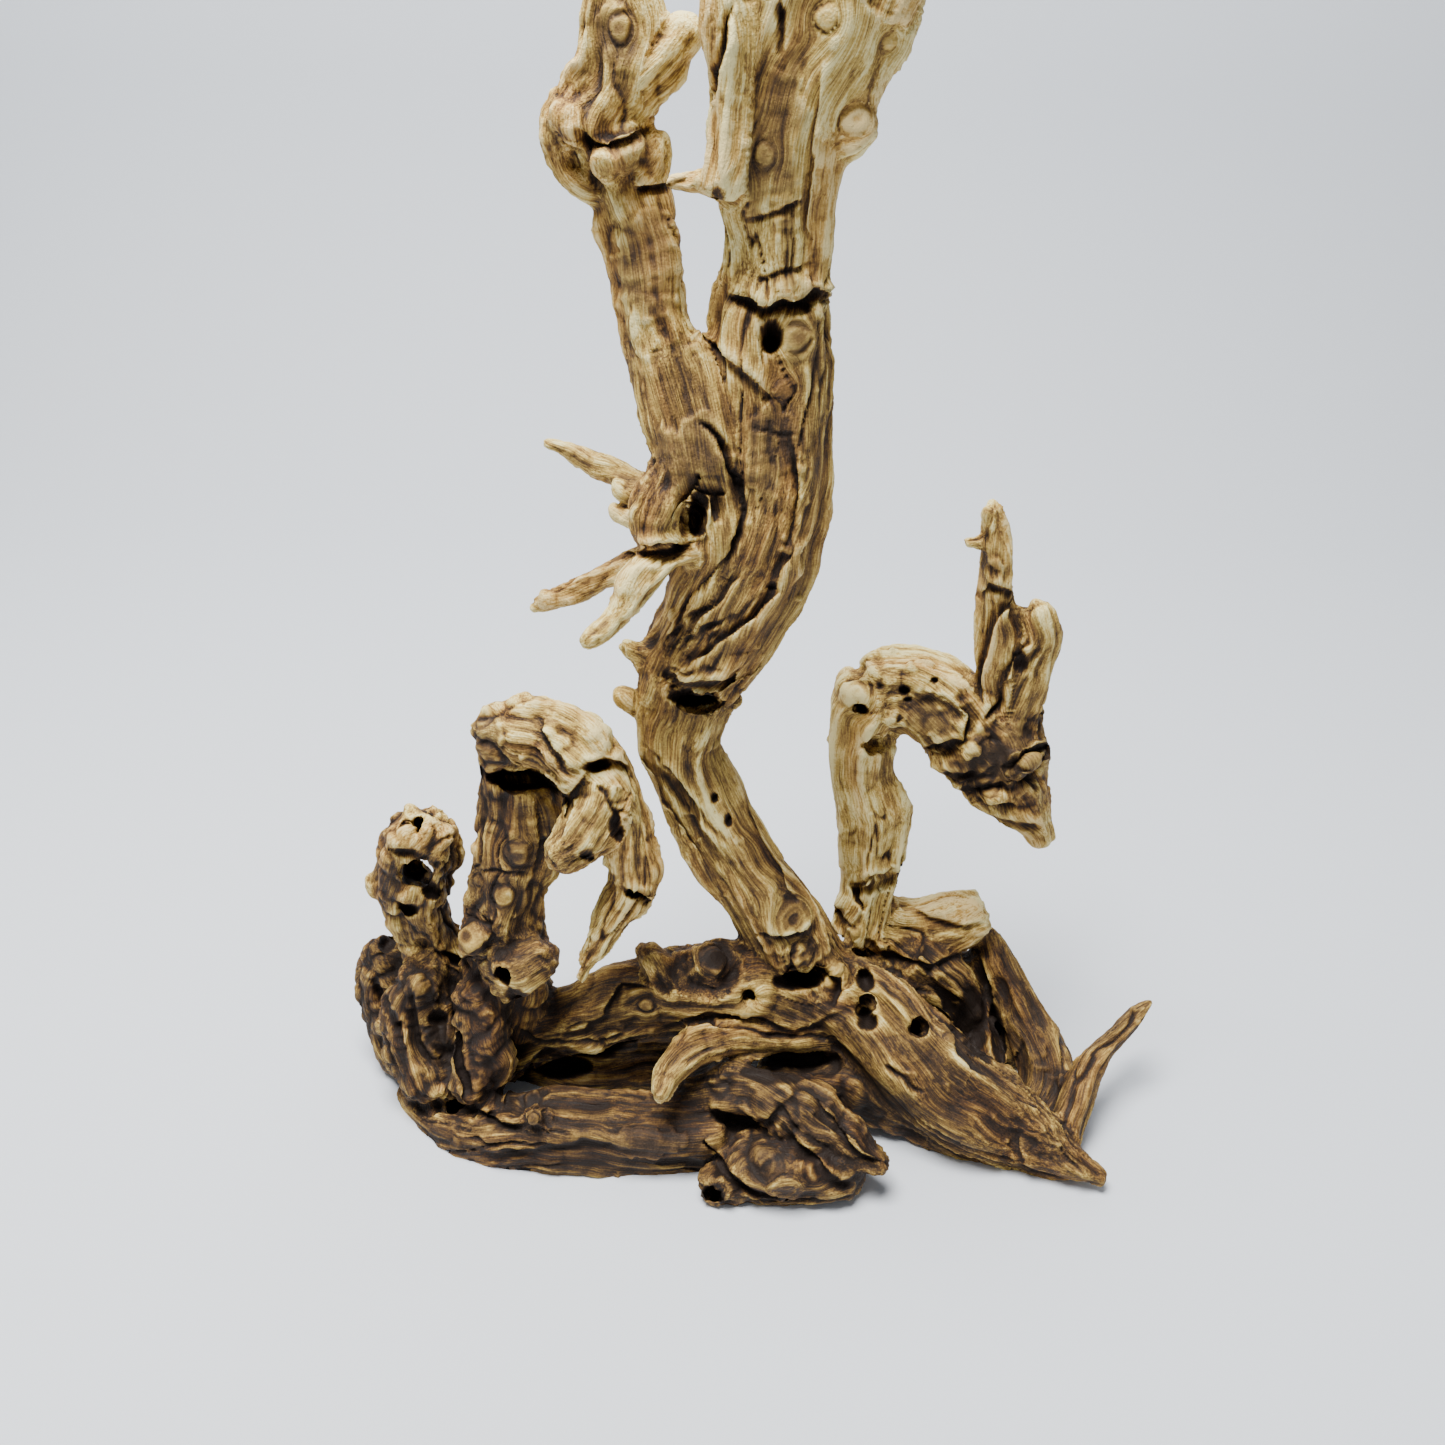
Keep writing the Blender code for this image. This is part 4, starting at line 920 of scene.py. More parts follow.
class Grain:
    """Where each point of the skin lies along and across the two limbs nearest to it."""

    def __init__(self, places):
        count = len(places)
        self.gaps = np.full((2, count), FAR)
        self.places = np.zeros((2, count, 3))
        self.limbs = np.zeros((2, count), int)
        for number, (stations, _) in enumerate(all_limbs()):
            self.measure(number, centre_line(stations, GRAIN_SPACING), places)
        self.share = 1 - 0.5 * np.exp((self.gaps[0] - self.gaps[1]) / GRAIN_BLEND)

    def measure(self, number, line, places):
        margin = line.halves.max() + GRAIN_MARGIN
        low = line.middles.min(0) - margin
        high = line.middles.max(0) + margin
        near = np.flatnonzero(((places > low) & (places < high)).all(axis=1))
        if not len(near):
            return
        here = places[near]
        square = (here**2).sum(1)[:, None] + (line.middles**2).sum(1) - 2 * here @ line.middles.T
        closest = square.argmin(axis=1)
        offset = here - line.middles[closest]
        ahead = (offset * line.forward[closest]).sum(1)
        x = (offset * line.side[closest]).sum(1)
        y = (offset * line.across[closest]).sum(1)
        halves = line.halves[closest]
        reach = np.sqrt((x / halves[:, 0]) ** 2 + (y / halves[:, 1]) ** 2)
        gaps = (reach - 1) * halves.min(axis=1) + np.abs(ahead)
        along = line.along[closest] + ahead
        turn = GRAIN_TWIST * along
        turned_x = x * np.cos(turn) - y * np.sin(turn)
        turned_y = x * np.sin(turn) + y * np.cos(turn)
        found = np.stack([along, turned_x, turned_y], axis=1)
        nearest = gaps < self.gaps[0, near]
        self.keep(1, near[nearest], self.gaps[0, near[nearest]], self.places[0, near[nearest]],
                  self.limbs[0, near[nearest]])
        self.keep(0, near[nearest], gaps[nearest], found[nearest], number)
        second = ~nearest & (gaps < self.gaps[1, near])
        self.keep(1, near[second], gaps[second], found[second], number)

    def keep(self, rank, points, gaps, places, limbs):
        self.gaps[rank, points] = gaps
        self.places[rank, points] = places
        self.limbs[rank, points] = limbs

    def noise(self, long, wide, seed):
        """Noise whose lumps are drawn out along the grain: their length and width in millimetres."""
        scale = np.array((1 / long, 1 / wide, 1 / wide))
        values = []
        for places, limbs in zip(self.places, self.limbs):
            values.append(noise(places * scale + LIMB_SHIFT * limbs[:, None], seed))
        return self.share * values[0] + (1 - self.share) * values[1]

    def wear(self, name):
        """One of the limbs' wear values at every point."""
        table = np.array([getattr(wear, name) for _, wear in all_limbs()])
        return self.share * table[self.limbs[0]] + (1 - self.share) * table[self.limbs[1]]


def waved(places):
    """The places moved about a little, so that the grain runs in waves."""
    moved = places.copy()
    for axis in range(3):
        moved[:, axis] += 2.6 * noise(places / 24, 40 + axis) + 1.0 * noise(places / 9, 50 + axis)
    return moved


def round_knots(places, knots):
    """The places moved so that the grain flows round each knot."""
    moved = places.copy()
    for middle, radius in knots:
        offset = places - middle
        distance = np.linalg.norm(offset, axis=1)
        near = distance < 4 * radius
        away = offset[near]
        far = np.maximum(distance[near], radius)
        moved[near] -= away * (radius / far)[:, None] ** 2 * step(-far, -4 * radius, -radius)[:, None]
    return moved


# What lies along a line of pixels: places on the wood, their pixels, the way the line runs there in the
# photograph, and how far along it they are, from 0 to 1.
Trace = namedtuple("Trace", "places pixels ways shares")

# In pixels: the step along a line, how far it wavers to each side, and over what length
TRACE_STEP = 2.0
TRACE_WAVER = 3.2
WAVER_LENGTH = 15


def wavering(pixel):
    """How a line's pixel is off its straight course, to each side, at most about 1."""
    place = np.array([[*pixel, 0.0]]) / WAVER_LENGTH
    return np.array([noise(place, 5)[0], noise(place, 6)[0]])


class PhotoFinder:
    """Finds the place on the wood that a pixel of the photograph shows."""

    def __init__(self, thing):
        bm = bmesh.new()
        bm.from_mesh(thing.data)
        self.tree = BVHTree.FromBMesh(bm)
        bm.free()
        self.eye = (CAMERA_PLACE - FOOTPRINT_MIDDLE) * MM

    def find(self, u, v):
        """The place in millimetres and its distance, or None where the photograph shows no wood."""
        hit, _, _, distance = self.tree.ray_cast(Vector(self.eye), Vector(photo_ray(u, v)))
        if hit is None:
            return None, None
        return np.array(hit) / MM + FOOTPRINT_MIDDLE, distance / MM

    def spots(self, table):
        """(place, millimetres to a pixel, the rest of the row) for each row of a table that hits the wood."""
        found = []
        for row in table:
            place, distance = self.find(row[0], row[1])
            if place is not None:
                found.append((place, distance / FOCAL_PIXELS, row[2:]))
        return found

    def trace(self, pixels):
        """What is found on the wood along a line of pixels, or None where there is no wood."""
        pixels = np.array(pixels, float)
        spans = np.diff(pixels, axis=0)
        sizes = np.linalg.norm(spans, axis=1)
        found = []
        for start, span, size, before in zip(pixels, spans, sizes, np.cumsum(sizes) - sizes):
            for t in np.arange(0, 1, TRACE_STEP / size):
                on_line = start + t * span
                pixel = on_line + TRACE_WAVER * wavering(on_line)
                place, _ = self.find(*pixel)
                if place is not None:
                    found.append((*place, *pixel, *(span / size), (before + t * size) / sizes.sum()))
        if len(found) < 2:
            return None
        rows = np.array(found)
        return Trace(rows[:, :3], rows[:, 3:5], rows[:, 5:7], rows[:, 7])


def near_box(points, places, margin):
    """The indexes of the points within a margin of the places' box."""
    inside = (points > places.min(0) - margin) & (points < places.max(0) + margin)
    return np.flatnonzero(inside.all(axis=1))


def beside(points, trace, reach):
    """The points within reach of a trace, the number of the closest place on it, and how far off that is."""
    near = near_box(points, trace.places, reach)
    here = points[near]
    square = (here**2).sum(1)[:, None] + (trace.places**2).sum(1) - 2 * here @ trace.places.T
    return near, square.argmin(axis=1), np.sqrt(np.maximum(square.min(axis=1), 0))


def tapered(shares):
    """1 along most of a line, and less towards its two ends."""
    return np.clip(5 * np.minimum(shares, 1 - shares), 0, 1) ** 0.6


def crack_heights(points, finder):
    """How far each point sinks into a crack or rises at its lips, and the painted shade in it."""
    heights = np.zeros(len(points))
    shade = np.zeros(len(points))
    for half_width, depth, *pixels in PHOTO_CRACKS:
        trace = finder.trace(pixels)
        if trace is None:
            continue
        near, closest, gaps = beside(points, trace, 5 * half_width)
        strength = tapered(trace.shares[closest]) * (0.75 + 0.35 * noise(trace.places[closest] / 4, 15))
        away = gaps / (half_width * (0.5 + 0.5 * strength))
        cut = np.exp(-(away**2)) * strength
        lips = np.exp(-((away - 2) ** 2)) * strength
        heights[near] = np.minimum(heights[near], 0) - cut * depth + 0.3 * lips
        shade[near] = np.maximum(shade[near], np.exp(-(away**2) * 1.5) * strength)
    return heights, shade


def image_places(points):
    """The pixel of the photograph at which the camera saw each point."""
    right, up, forward = camera_axes()
    offset = points - CAMERA_PLACE
    scale = FOCAL_PIXELS / (offset @ forward)
    return PHOTO_SIDE / 2 + np.stack([offset @ right * scale, -(offset @ up) * scale], axis=1)


def fold_pushes(points, normals, finder):
    """How far each point moves at a fold, whose lip stands out over sunken wood, and the shade under it."""
    right, up, _ = camera_axes()
    toward = unit(CAMERA_PLACE - points)
    facing = np.clip((normals * toward).sum(1) * 3 + 0.6, 0, 1)
    pushes = np.zeros(points.shape)
    shade = np.zeros(len(points))
    for lift, sink, width, *pixels in PHOTO_FOLDS:
        trace = finder.trace(pixels)
        if trace is None:
            continue
        reach = 1.3 * width * np.linalg.norm(trace.places[0] - CAMERA_PLACE) / FOCAL_PIXELS
        near, closest, gaps = beside(points, trace, reach)
        near, closest = near[gaps < reach], closest[gaps < reach]
        offset = image_places(points[near]) - trace.pixels[closest]
        way = trace.ways[closest]
        side = (offset[:, 0] * way[:, 1] - offset[:, 1] * way[:, 0]) / width
        strength = tapered(trace.shares[closest]) * facing[near]
        lip = step(side, -0.08, 0.12) * (1 - step(side, 0.25, 1.2)) * strength
        pit = step(-side, -0.04, 0.16) * (1 - step(-side, 0.2, 1.1)) * strength
        over = -(way[:, 1:] * right + way[:, :1] * up)
        pushes[near] += (lip * lift - pit * sink)[:, None] * toward[near] + (0.5 * lift * lip)[:, None] * over
        shade[near] = np.maximum(shade[near], pit * (1 - step(-side, 0.1, 0.8)))
    return pushes, shade


def hole_pushes(points, normals, finder):
    """How far each point sinks away from the camera in a hole, and the painted shade in it."""
    right, up, _ = camera_axes()
    facing = np.clip((normals * unit(CAMERA_PLACE - points)).sum(1) * 3 + 1.5, 0, 1)
    pushes = np.zeros(points.shape)
    shade = np.zeros(len(points))
    for middle, pixel, (half_width, half_height, depth) in finder.spots(PHOTO_HOLES):
        reach = max(half_width, half_height) * pixel * 1.6
        near = near_box(points, middle[None], reach + 3)
        offset = points[near] - middle
        wide = offset @ right / (half_width * pixel)
        high = offset @ up / (half_height * pixel)
        sunk = np.clip(1 - (wide**2 + high**2), 0, 1) ** 0.7
        sunk = sunk * (np.abs(offset @ unit(middle - CAMERA_PLACE)) < reach + 2) * facing[near]
        pushes[near] += sunk[:, None] * depth * unit(middle - CAMERA_PLACE)
        shade[near] = np.maximum(shade[near], sunk**0.6)
    return pushes, shade


def knot_heights(points, knots):
    """Rings, a low dome and a sunken rim at each knot, and painted shade in the rim, the heart and the rings'
    furrows.
    """
    heights = np.zeros(len(points))
    shade = np.zeros(len(points))
    for number, (middle, radius) in enumerate(knots):
        near = near_box(points, middle[None], radius * 1.6)
        away = np.linalg.norm(points[near] - middle, axis=1) / radius
        wobble = 0.25 * noise(points[near] / 3.5, 70 + number)
        away = away + wobble
        inside = step(-away, -1.15, -0.95)
        rings = np.cos(away * radius * 2 * math.pi / KNOT_RING) * 0.2
        broken = 0.5 + 0.5 * noise(points[near] / 4.0, 170 + number)
        rim = np.exp(-(((away - 1.0) / 0.14) ** 2)) * broken
        heart = np.exp(-((away / 0.2) ** 2))
        heights[near] += inside * (rings + 1.0 * np.clip(1 - away**2, 0, 1)) - 0.8 * rim - 0.5 * heart
        shade[near] = np.maximum(shade[near], 0.55 * rim + 0.5 * heart + 0.2 * inside * (rings < 0))
    return heights, shade


def spot_values(points, finder, rows):
    """The sum at each point of soft spots, each with its own value in the rows' last column."""
    values = np.zeros(len(points))
    for middle, pixel, (half_width, half_height, value) in finder.spots(rows):
        away = spot_distance(points, middle, half_width * pixel, half_height * pixel)
        values += value * np.exp(-(away**2))
    return values


def spot_distance(points, middle, half_width, half_height):
    """How far each point is from a spot's middle, as a share of the spot's size as the camera sees it."""
    right, up, _ = camera_axes()
    offset = points - middle
    deep = offset @ unit(middle - CAMERA_PLACE) / max(half_width, half_height)
    return np.sqrt((offset @ right / half_width) ** 2 + (offset @ up / half_height) ** 2 + deep**2)


def bark_cover(points, finder):
    """How much bark covers each point: torn patches, thick at the middle."""
    cover = np.zeros(len(points))
    for middle, pixel, (half_width, half_height) in finder.spots(PHOTO_BARK):
        away = spot_distance(points, middle, half_width * pixel, half_height * pixel)
        cover = np.maximum(cover, 1.3 - away)
    return cover


def bark_thickness(grain, points, finder):
    """How thick the bark is: the patches that the photograph shows and scattered ones, with torn edges."""
    torn = noise(points / 6, 81) * 0.5 + noise(points / 2.5, 82) * 0.25
    scattered = grain.wear("bark") - 0.75 + 0.6 * noise(points / 26, 83)
    return np.maximum(bark_cover(points, finder), scattered) + torn


def find_knots(skin, finder):
    """The knots that the photograph shows, and hidden ones on the side that it doesn't show."""
    knots = [(place, rest[0] * pixel) for place, pixel, rest in finder.spots(PHOTO_KNOTS)]
    forward = camera_axes()[2]
    random = np.random.default_rng(HIDDEN_KNOT_SEED)
    for chosen in random.integers(0, len(skin.points), HIDDEN_KNOTS):
        if skin.normals[chosen] @ forward > 0.1:
            knots.append((skin.points[chosen], random.uniform(*HIDDEN_KNOT_SIZES)))
    return knots


def wear_wood(wood, sizes):
    """Wears the whole skin, as the photograph shows and along the grain, and keeps what the finish needs."""
    skin = Skin(wood)
    skin.points = skin.smooth_rows(skin.points, SKIN_PASSES)
    skin.write()
    finder = PhotoFinder(wood)
    knots = find_knots(skin, finder)
    on_ground = skin.points[:, 2] < GROUND_TOUCH
    folds, fold_shade = fold_pushes(skin.points, skin.normals, finder)
    holes, hole_shade = hole_pushes(skin.points, skin.normals, finder)
    cracks, crack_shade = crack_heights(skin.points, finder)
    knobs, knot_shade = knot_heights(skin.points, knots)
    tones = spot_values(skin.points, finder, PHOTO_STAINS)
    crags = spot_values(skin.points, finder, PHOTO_CRAGS)

    grain = Grain(waved(round_knots(skin.points, knots)))
    checks = grain_checks(grain, skin.points)
    lumps, creases = burl_lumps(skin.points)
    lumpy = np.minimum(grain.wear("lumps") + crags, MOST_LUMPY)
    pits = rot_pits(skin.points) * grain.wear("pits")
    bark = bark_thickness(grain, skin.points, finder)
    cover = step(bark, 0.35, 0.5)
    bare = 1 - 0.6 * cover
    calm = 1 - np.clip(crack_shade + hole_shade + fold_shade, 0, 1)

    heights = sizes.ridge_depth / MM * worn_ridges(grain, skin.points) * bare * (0.35 + 0.65 * calm)
    heights -= CHECK_DEPTH * checks * bare * calm
    heights += sizes.lump_height / MM * (lumps * lumpy) + grain_swell(grain, skin.points)
    heights -= sizes.pit_depth / MM * pits
    heights += sizes.bark_height / MM * cover * (1 + 0.45 * bark_hatch(grain, skin.points))
    heights += cracks + knobs
    skin.push(heights)
    skin.points += holes + folds
    draw_in(skin.points)
    skin.points[:, 2] = np.where(on_ground, 0, np.maximum(skin.points[:, 2], 0))
    skin.write()

    # Painted shade: darker in cracks, in holes, under the lips of folds, in the sunken rims and hearts of
    # knots, and in drying checks
    shade = 0.7 * crack_shade + 0.9 * hole_shade + 0.22 * fold_shade + 0.6 * knot_shade + 0.5 * checks * calm
    shade = np.clip(shade, 0, 1) * (0.8 + 0.3 * noise(skin.points / 2.5, 19))
    keep_shape(wood, skin)
    keep_value(wood, "shade", skin.smooth(shade, 1))
    keep_value(wood, "bark", step(bark, 0.1, 0.9))
    keep_value(wood, "tone", skin.smooth(grain.wear("tone"), TONE_PASSES) + tones)
    # Painted shade in the creases between a burl's lumps
    keep_value(wood, "crease_shade", creases * lumpy)
    keep_grain(wood, grain)


def keep_shape(wood, skin):
    """Stores how far each point stands out from its near surroundings and sinks below its far ones, which the
    finish turns into paler ridges, worn and with a painted highlight, and darker furrows and hollows, as
    painted shade.
    """
    near_mean = skin.smooth_rows(skin.points, NEAR_PASSES)
    far_mean = skin.smooth_rows(near_mean, FAR_PASSES)
    out = ((skin.points - near_mean) * skin.normals).sum(1)
    sunk = ((far_mean - skin.points) * skin.normals).sum(1)
    # Paler where the wood stands out, as worn ridges and as a painted highlight, and darker in furrows, as
    # painted shade
    keep_value(wood, "relief_wear_and_shading", np.clip(out / RIDGE_HEIGHT, -1.5, 1.5))
    # Painted shade: darker where the wood sinks below its far surroundings, and a little paler on bulges
    keep_value(wood, "cavity_shade", np.clip(sunk / CAVITY_DEPTH, -1, 2))


def draw_in(points):
    """Draws what stands outside the CAD's box most of the way back to it."""
    low, high = [np.array(corner) / MM + FOOTPRINT_MIDDLE for corner in CAD_BOX]
    points -= DRAWN_IN * (np.minimum(points - low, 0) + np.maximum(points - high, 0))


def worn_ridges(grain, points):
    """Long rounded ridges with narrow furrows between them, in three widths, worn down in places."""
    broad = 1 - 2.2 * np.abs(grain.noise(long=70, wide=6.5, seed=11)) ** 0.8
    middle = 1 - 2.0 * np.abs(grain.noise(long=42, wide=3.0, seed=12)) ** 0.8
    narrow = grain.noise(long=26, wide=1.5, seed=13)
    worn = 0.55 + 0.75 * step(noise(points / 22, 16), -0.5, 0.6)
    return (0.75 * broad + 0.5 * middle + 0.28 * narrow - 0.4) * grain.wear("ridges") * worn


def grain_swell(grain, points):
    """The broad, uneven swelling of the limbs."""
    return grain.noise(long=48, wide=12, seed=17) * 1.5 + noise(points / 14, 18) * 1.1


def grain_checks(grain, points):
    """Thin drying cracks along the grain, where the wood has opened."""
    opened = step(noise(points / 30, 21), 0.0, 0.5)
    return np.exp(-((grain.noise(long=55, wide=5.0, seed=22) / 0.06) ** 2)) * opened


def burl_lumps(points):
    """Rounded lumps with sharp creases between them, and the creases' own depth, which the finish darkens as
    painted shade.
    """
    large = np.abs(noise(points / 8.5, 31))
    small = np.abs(noise(points / 3.8, 32))
    creases = np.exp(-((large / 0.1) ** 2))
    return 1.6 * large + 0.6 * small - 0.7, creases


def rot_pits(points):
    """Small deep pits, close together in some places."""
    spread = step(noise(points / 18, 61), -0.2, 0.6)
    large = step(noise(points / 2.1, 62), 0.25, 0.75)
    small = step(noise(points / 1.2, 63), 0.2, 0.8)
    return large * spread + 0.5 * small * spread


def bark_hatch(grain, points):
    """Fine wrinkles of bark, that run across the grain."""
    return grain.noise(long=1.8, wide=9.0, seed=91) + 0.5 * noise(points / 1.4, 92)


def keep_value(thing, name, values):
    layer = thing.data.attributes.new(name, "FLOAT", "POINT")
    layer.data.foreach_set("value", values.astype(np.float32))


def keep_grain(thing, grain):
    """Stores the place along and across the grain at each face's corners, of one limb for all of a face."""
    mesh_data = thing.data
    corners = np.empty(len(mesh_data.loops), np.int32)
    mesh_data.loops.foreach_get("vertex_index", corners)
    starts = np.empty(len(mesh_data.polygons), np.int32)
    mesh_data.polygons.foreach_get("loop_start", starts)
    totals = np.diff(np.append(starts, len(corners)))
    chosen = np.repeat(grain.limbs[0][corners[starts]], totals)
    first = grain.limbs[0][corners] == chosen
    places = np.where(first[:, None], grain.places[0][corners], grain.places[1][corners])
    unlike = ~first & (grain.limbs[1][corners] != chosen)
    places[unlike] = np.repeat(grain.places[0][corners[starts]], totals, axis=0)[unlike]
    places += SPLIT_LIMBS * chosen[:, None]
    layer = mesh_data.attributes.new("grain", "FLOAT_VECTOR", "CORNER")
    layer.data.foreach_set("vector", places.astype(np.float32).ravel())


def cut_forks(wood):
    """Cuts the wood across at each fork and closes both ends."""
    bm = bmesh.new()
    bm.from_mesh(wood.data)
    bm.faces.ensure_lookup_table()
    middles = np.array([face.calc_center_median() for face in bm.faces]) / MM + FOOTPRINT_MIDDLE
    cuts = []
    for point, way, half_width in FORKS:
        turn = np.array(Vector((0, 0, 1)).rotation_difference(Vector(way).normalized()).to_matrix())
        offset = (middles - point) @ turn
        inside = (np.abs(offset[:, :2]) < half_width).all(axis=1) & (np.abs(offset[:, 2]) < FORK_REACH)
        cuts.append([bm.faces[index] for index in np.flatnonzero(inside)])
    for (point, way, _), faces in zip(FORKS, cuts):
        verts = {vert for face in faces for vert in face.verts}
        edges = {edge for face in faces for edge in face.edges}
        place = Vector((np.array(point) - FOOTPRINT_MIDDLE) * MM)
        made = bmesh.ops.bisect_plane(bm, geom=[*faces, *edges, *verts], plane_co=place,
                                      plane_no=Vector(way).normalized(), dist=1e-7)
        rim = [item for item in made["geom_cut"] if isinstance(item, bmesh.types.BMEdge)]
        bmesh.ops.split_edges(bm, edges=rim)
    open_edges = [edge for edge in bm.edges if edge.is_boundary]
    for edge in open_edges:
        edge.smooth = False
    capped = bmesh.ops.holes_fill(bm, edges=open_edges, sides=0)
    bmesh.ops.triangulate(bm, faces=capped["faces"], ngon_method="EAR_CLIP")
    bm.to_mesh(wood.data)
    bm.free()


def distance_to(thing, place):
    """How far a place is from an object's skin."""
    start = Vector((np.array(place) - FOOTPRINT_MIDDLE) * MM)
    _, closest, _, _ = thing.closest_point_on_mesh(start)
    return (closest - start).length


def part_limbs(wood):
    """Makes each limb an object of its own, named for its node."""
    make_active(wood)
    bpy.ops.mesh.separate(type="LOOSE")
    parts = []
    for part in list(bpy.context.selected_objects):
        if len(part.data.vertices) > CRUMB:
            parts.append(part)
        else:
            bpy.data.objects.remove(part)
    if len(parts) != len(LIMBS):
        raise RuntimeError(f"the forks part the wood into {len(parts)} limbs, not {len(LIMBS)}")
    for node, (place, _) in LIMBS.items():
        chosen = min(parts, key=lambda part: distance_to(part, place))
        chosen.name = f"{node}_wood"
        chosen.data.name = f"{node}_wood"
        parts.remove(chosen)


# Noises drawn out along the grain: their length and width in millimetres, and their detail. Single fibres are
# too fine to show, so the fibres are drawn as bundles half a millimetre wide.
GRAIN_PATTERNS = {
    "streaks": (38.0, 2.4, 3.0),
    "fibres": (15.0, 0.55, 3.0),
    "lines": (22.0, 0.9, 2.0),
    "flushed": (70.0, 8.0, 2.0),
}
# Noises in spots: their size in millimetres, and their detail
SPOT_PATTERNS = {
    "stains": (14.0, 3.0),
    "grit": (0.7, 2.0),
}
# How much each pattern changes how pale the wood is, from where it is weak to where it is strong
PATTERN_WEIGHTS = {"streaks": 0.9, "fibres": 0.95, "stains": 0.6, "grit": 0.35}
# How much paler (or darker, below 0) the wood is made by its tone, by the threads, by raised ridges (worn
# wood and painted highlight) and by painted shade: in furrows, cracks, holes, under folds, in broad hollows
# and in creases
TONE_WEAR_AND_SHADE_WEIGHTS = {
    "tone": 1.0,
    "thread": -0.16,
    "relief_wear_and_shading": 0.17,
    "shade": -0.62,
    "cavity_shade": -0.15,
    "crease_shade": -0.35,
}
# Where each colour stands between the darkest wood (0) and the palest (1)
WOOD_TONES = (("furrow", 0.0), ("brown", 0.25), ("ochre", 0.5), ("straw", 0.76), ("raw", 1.0))
THREAD_SHARPNESS = 22.0

# The red flush of long streaks: what it multiplies the colour by, and how strong it is at most
FLUSH = (0.90, 0.74, 0.68, 1.0)
FLUSH_SHARE = 0.75

# Bark: how thick it has to be to show, how sharp its edge is, how the grain and the grit tear that edge, how
# much of its colour covers the wood, and how dark its hollows are, which are darkened as painted shade and by
# its grit
BARK_EDGE = 0.42
BARK_SHARPNESS = 2.2
BARK_TEARS = {"fibres": 1.6, "grit": 1.0}
BARK_COVER = 0.35
BARK_HOLLOW = 0.3

# How much bark darkens the wood round it, and what lifts its tone from dark to its full colour: its grit, and
# raised bark as painted highlight, with painted shade left in its hollows
BARK_STAIN = -0.1
BARK_DARKEST = -0.28
BARK_WEIGHTS = {"relief_wear_and_shading": 0.3, "grit": 1.4}

# How far the finest fibres and grit stand out, in millimetres, and the share of each
BUMP_HEIGHT = 0.8
BUMP_WEIGHTS = {"fibres": 0.6, "grit": 0.4}


def add_node(tree, kind, links=(), **settings):
    """Adds a node with its settings, and fills its sockets: {socket: another node's output or a value}."""
    node = tree.nodes.new(kind)
    for name, value in settings.items():
        setattr(node, name, value)
    for socket, source in dict(links).items():
        if isinstance(source, bpy.types.NodeSocket):
            tree.links.new(source, node.inputs[socket])
        else:
            node.inputs[socket].default_value = source
    return node


def weighted_sum(tree, sources, total, weights):
    """A first value and each named source times its weight, added up and kept from 0 to 1."""
    for name, weight in weights.items():
        added = add_node(tree, "ShaderNodeMath", {0: sources[name], 1: weight, 2: total},
                         operation="MULTIPLY_ADD")
        total = added.outputs[0]
    added.use_clamp = True
    return total


def wood_sources(tree):
    """What the finish is mixed from: what the mesh keeps of its tone, bark and wear and of its painted
    highlight and shade, and noise along the grain and in spots.

    The threads are thin dark lines, where one of the noises crosses its middle value.
    """
    sources = {}
    for name in ("tone", "relief_wear_and_shading", "cavity_shade", "shade", "crease_shade", "bark"):
        sources[name] = add_node(tree, "ShaderNodeAttribute", attribute_name=name).outputs["Fac"]
    grain = add_node(tree, "ShaderNodeAttribute", attribute_name="grain").outputs["Vector"]
    for name, (long, wide, detail) in GRAIN_PATTERNS.items():
        drawn_out = add_node(tree, "ShaderNodeVectorMath", {0: grain, 1: (1 / long, 1 / wide, 1 / wide)},
                             operation="MULTIPLY").outputs[0]
        sources[name] = add_node(tree, "ShaderNodeTexNoise",
                                 {"Vector": drawn_out, "Scale": 1.0, "Detail": detail}).outputs["Fac"]
    place = add_node(tree, "ShaderNodeTexCoord").outputs["Object"]
    for name, (size, detail) in SPOT_PATTERNS.items():
        sources[name] = add_node(tree, "ShaderNodeTexNoise",
                                 {"Vector": place, "Scale": 1 / (size * MM), "Detail": detail}).outputs["Fac"]
    offset = add_node(tree, "ShaderNodeMath", {0: sources["lines"], 1: 0.5}, operation="SUBTRACT").outputs[0]
    sources["off_thread"] = add_node(tree, "ShaderNodeMath", {0: offset}, operation="ABSOLUTE").outputs[0]
    sources["thread"] = weighted_sum(tree, sources, 1.0, {"off_thread": -THREAD_SHARPNESS})
    return sources


def bark_amount(tree, sources):
    """How fully bark covers the wood, with an edge torn along the grain."""
    first = -BARK_SHARPNESS * (BARK_EDGE + sum(BARK_TEARS.values()) / 2)
    weights = {"bark": 1.0, **BARK_TEARS}
    sharp_weights = {name: weight * BARK_SHARPNESS for name, weight in weights.items()}
    return weighted_sum(tree, sources, first, sharp_weights)


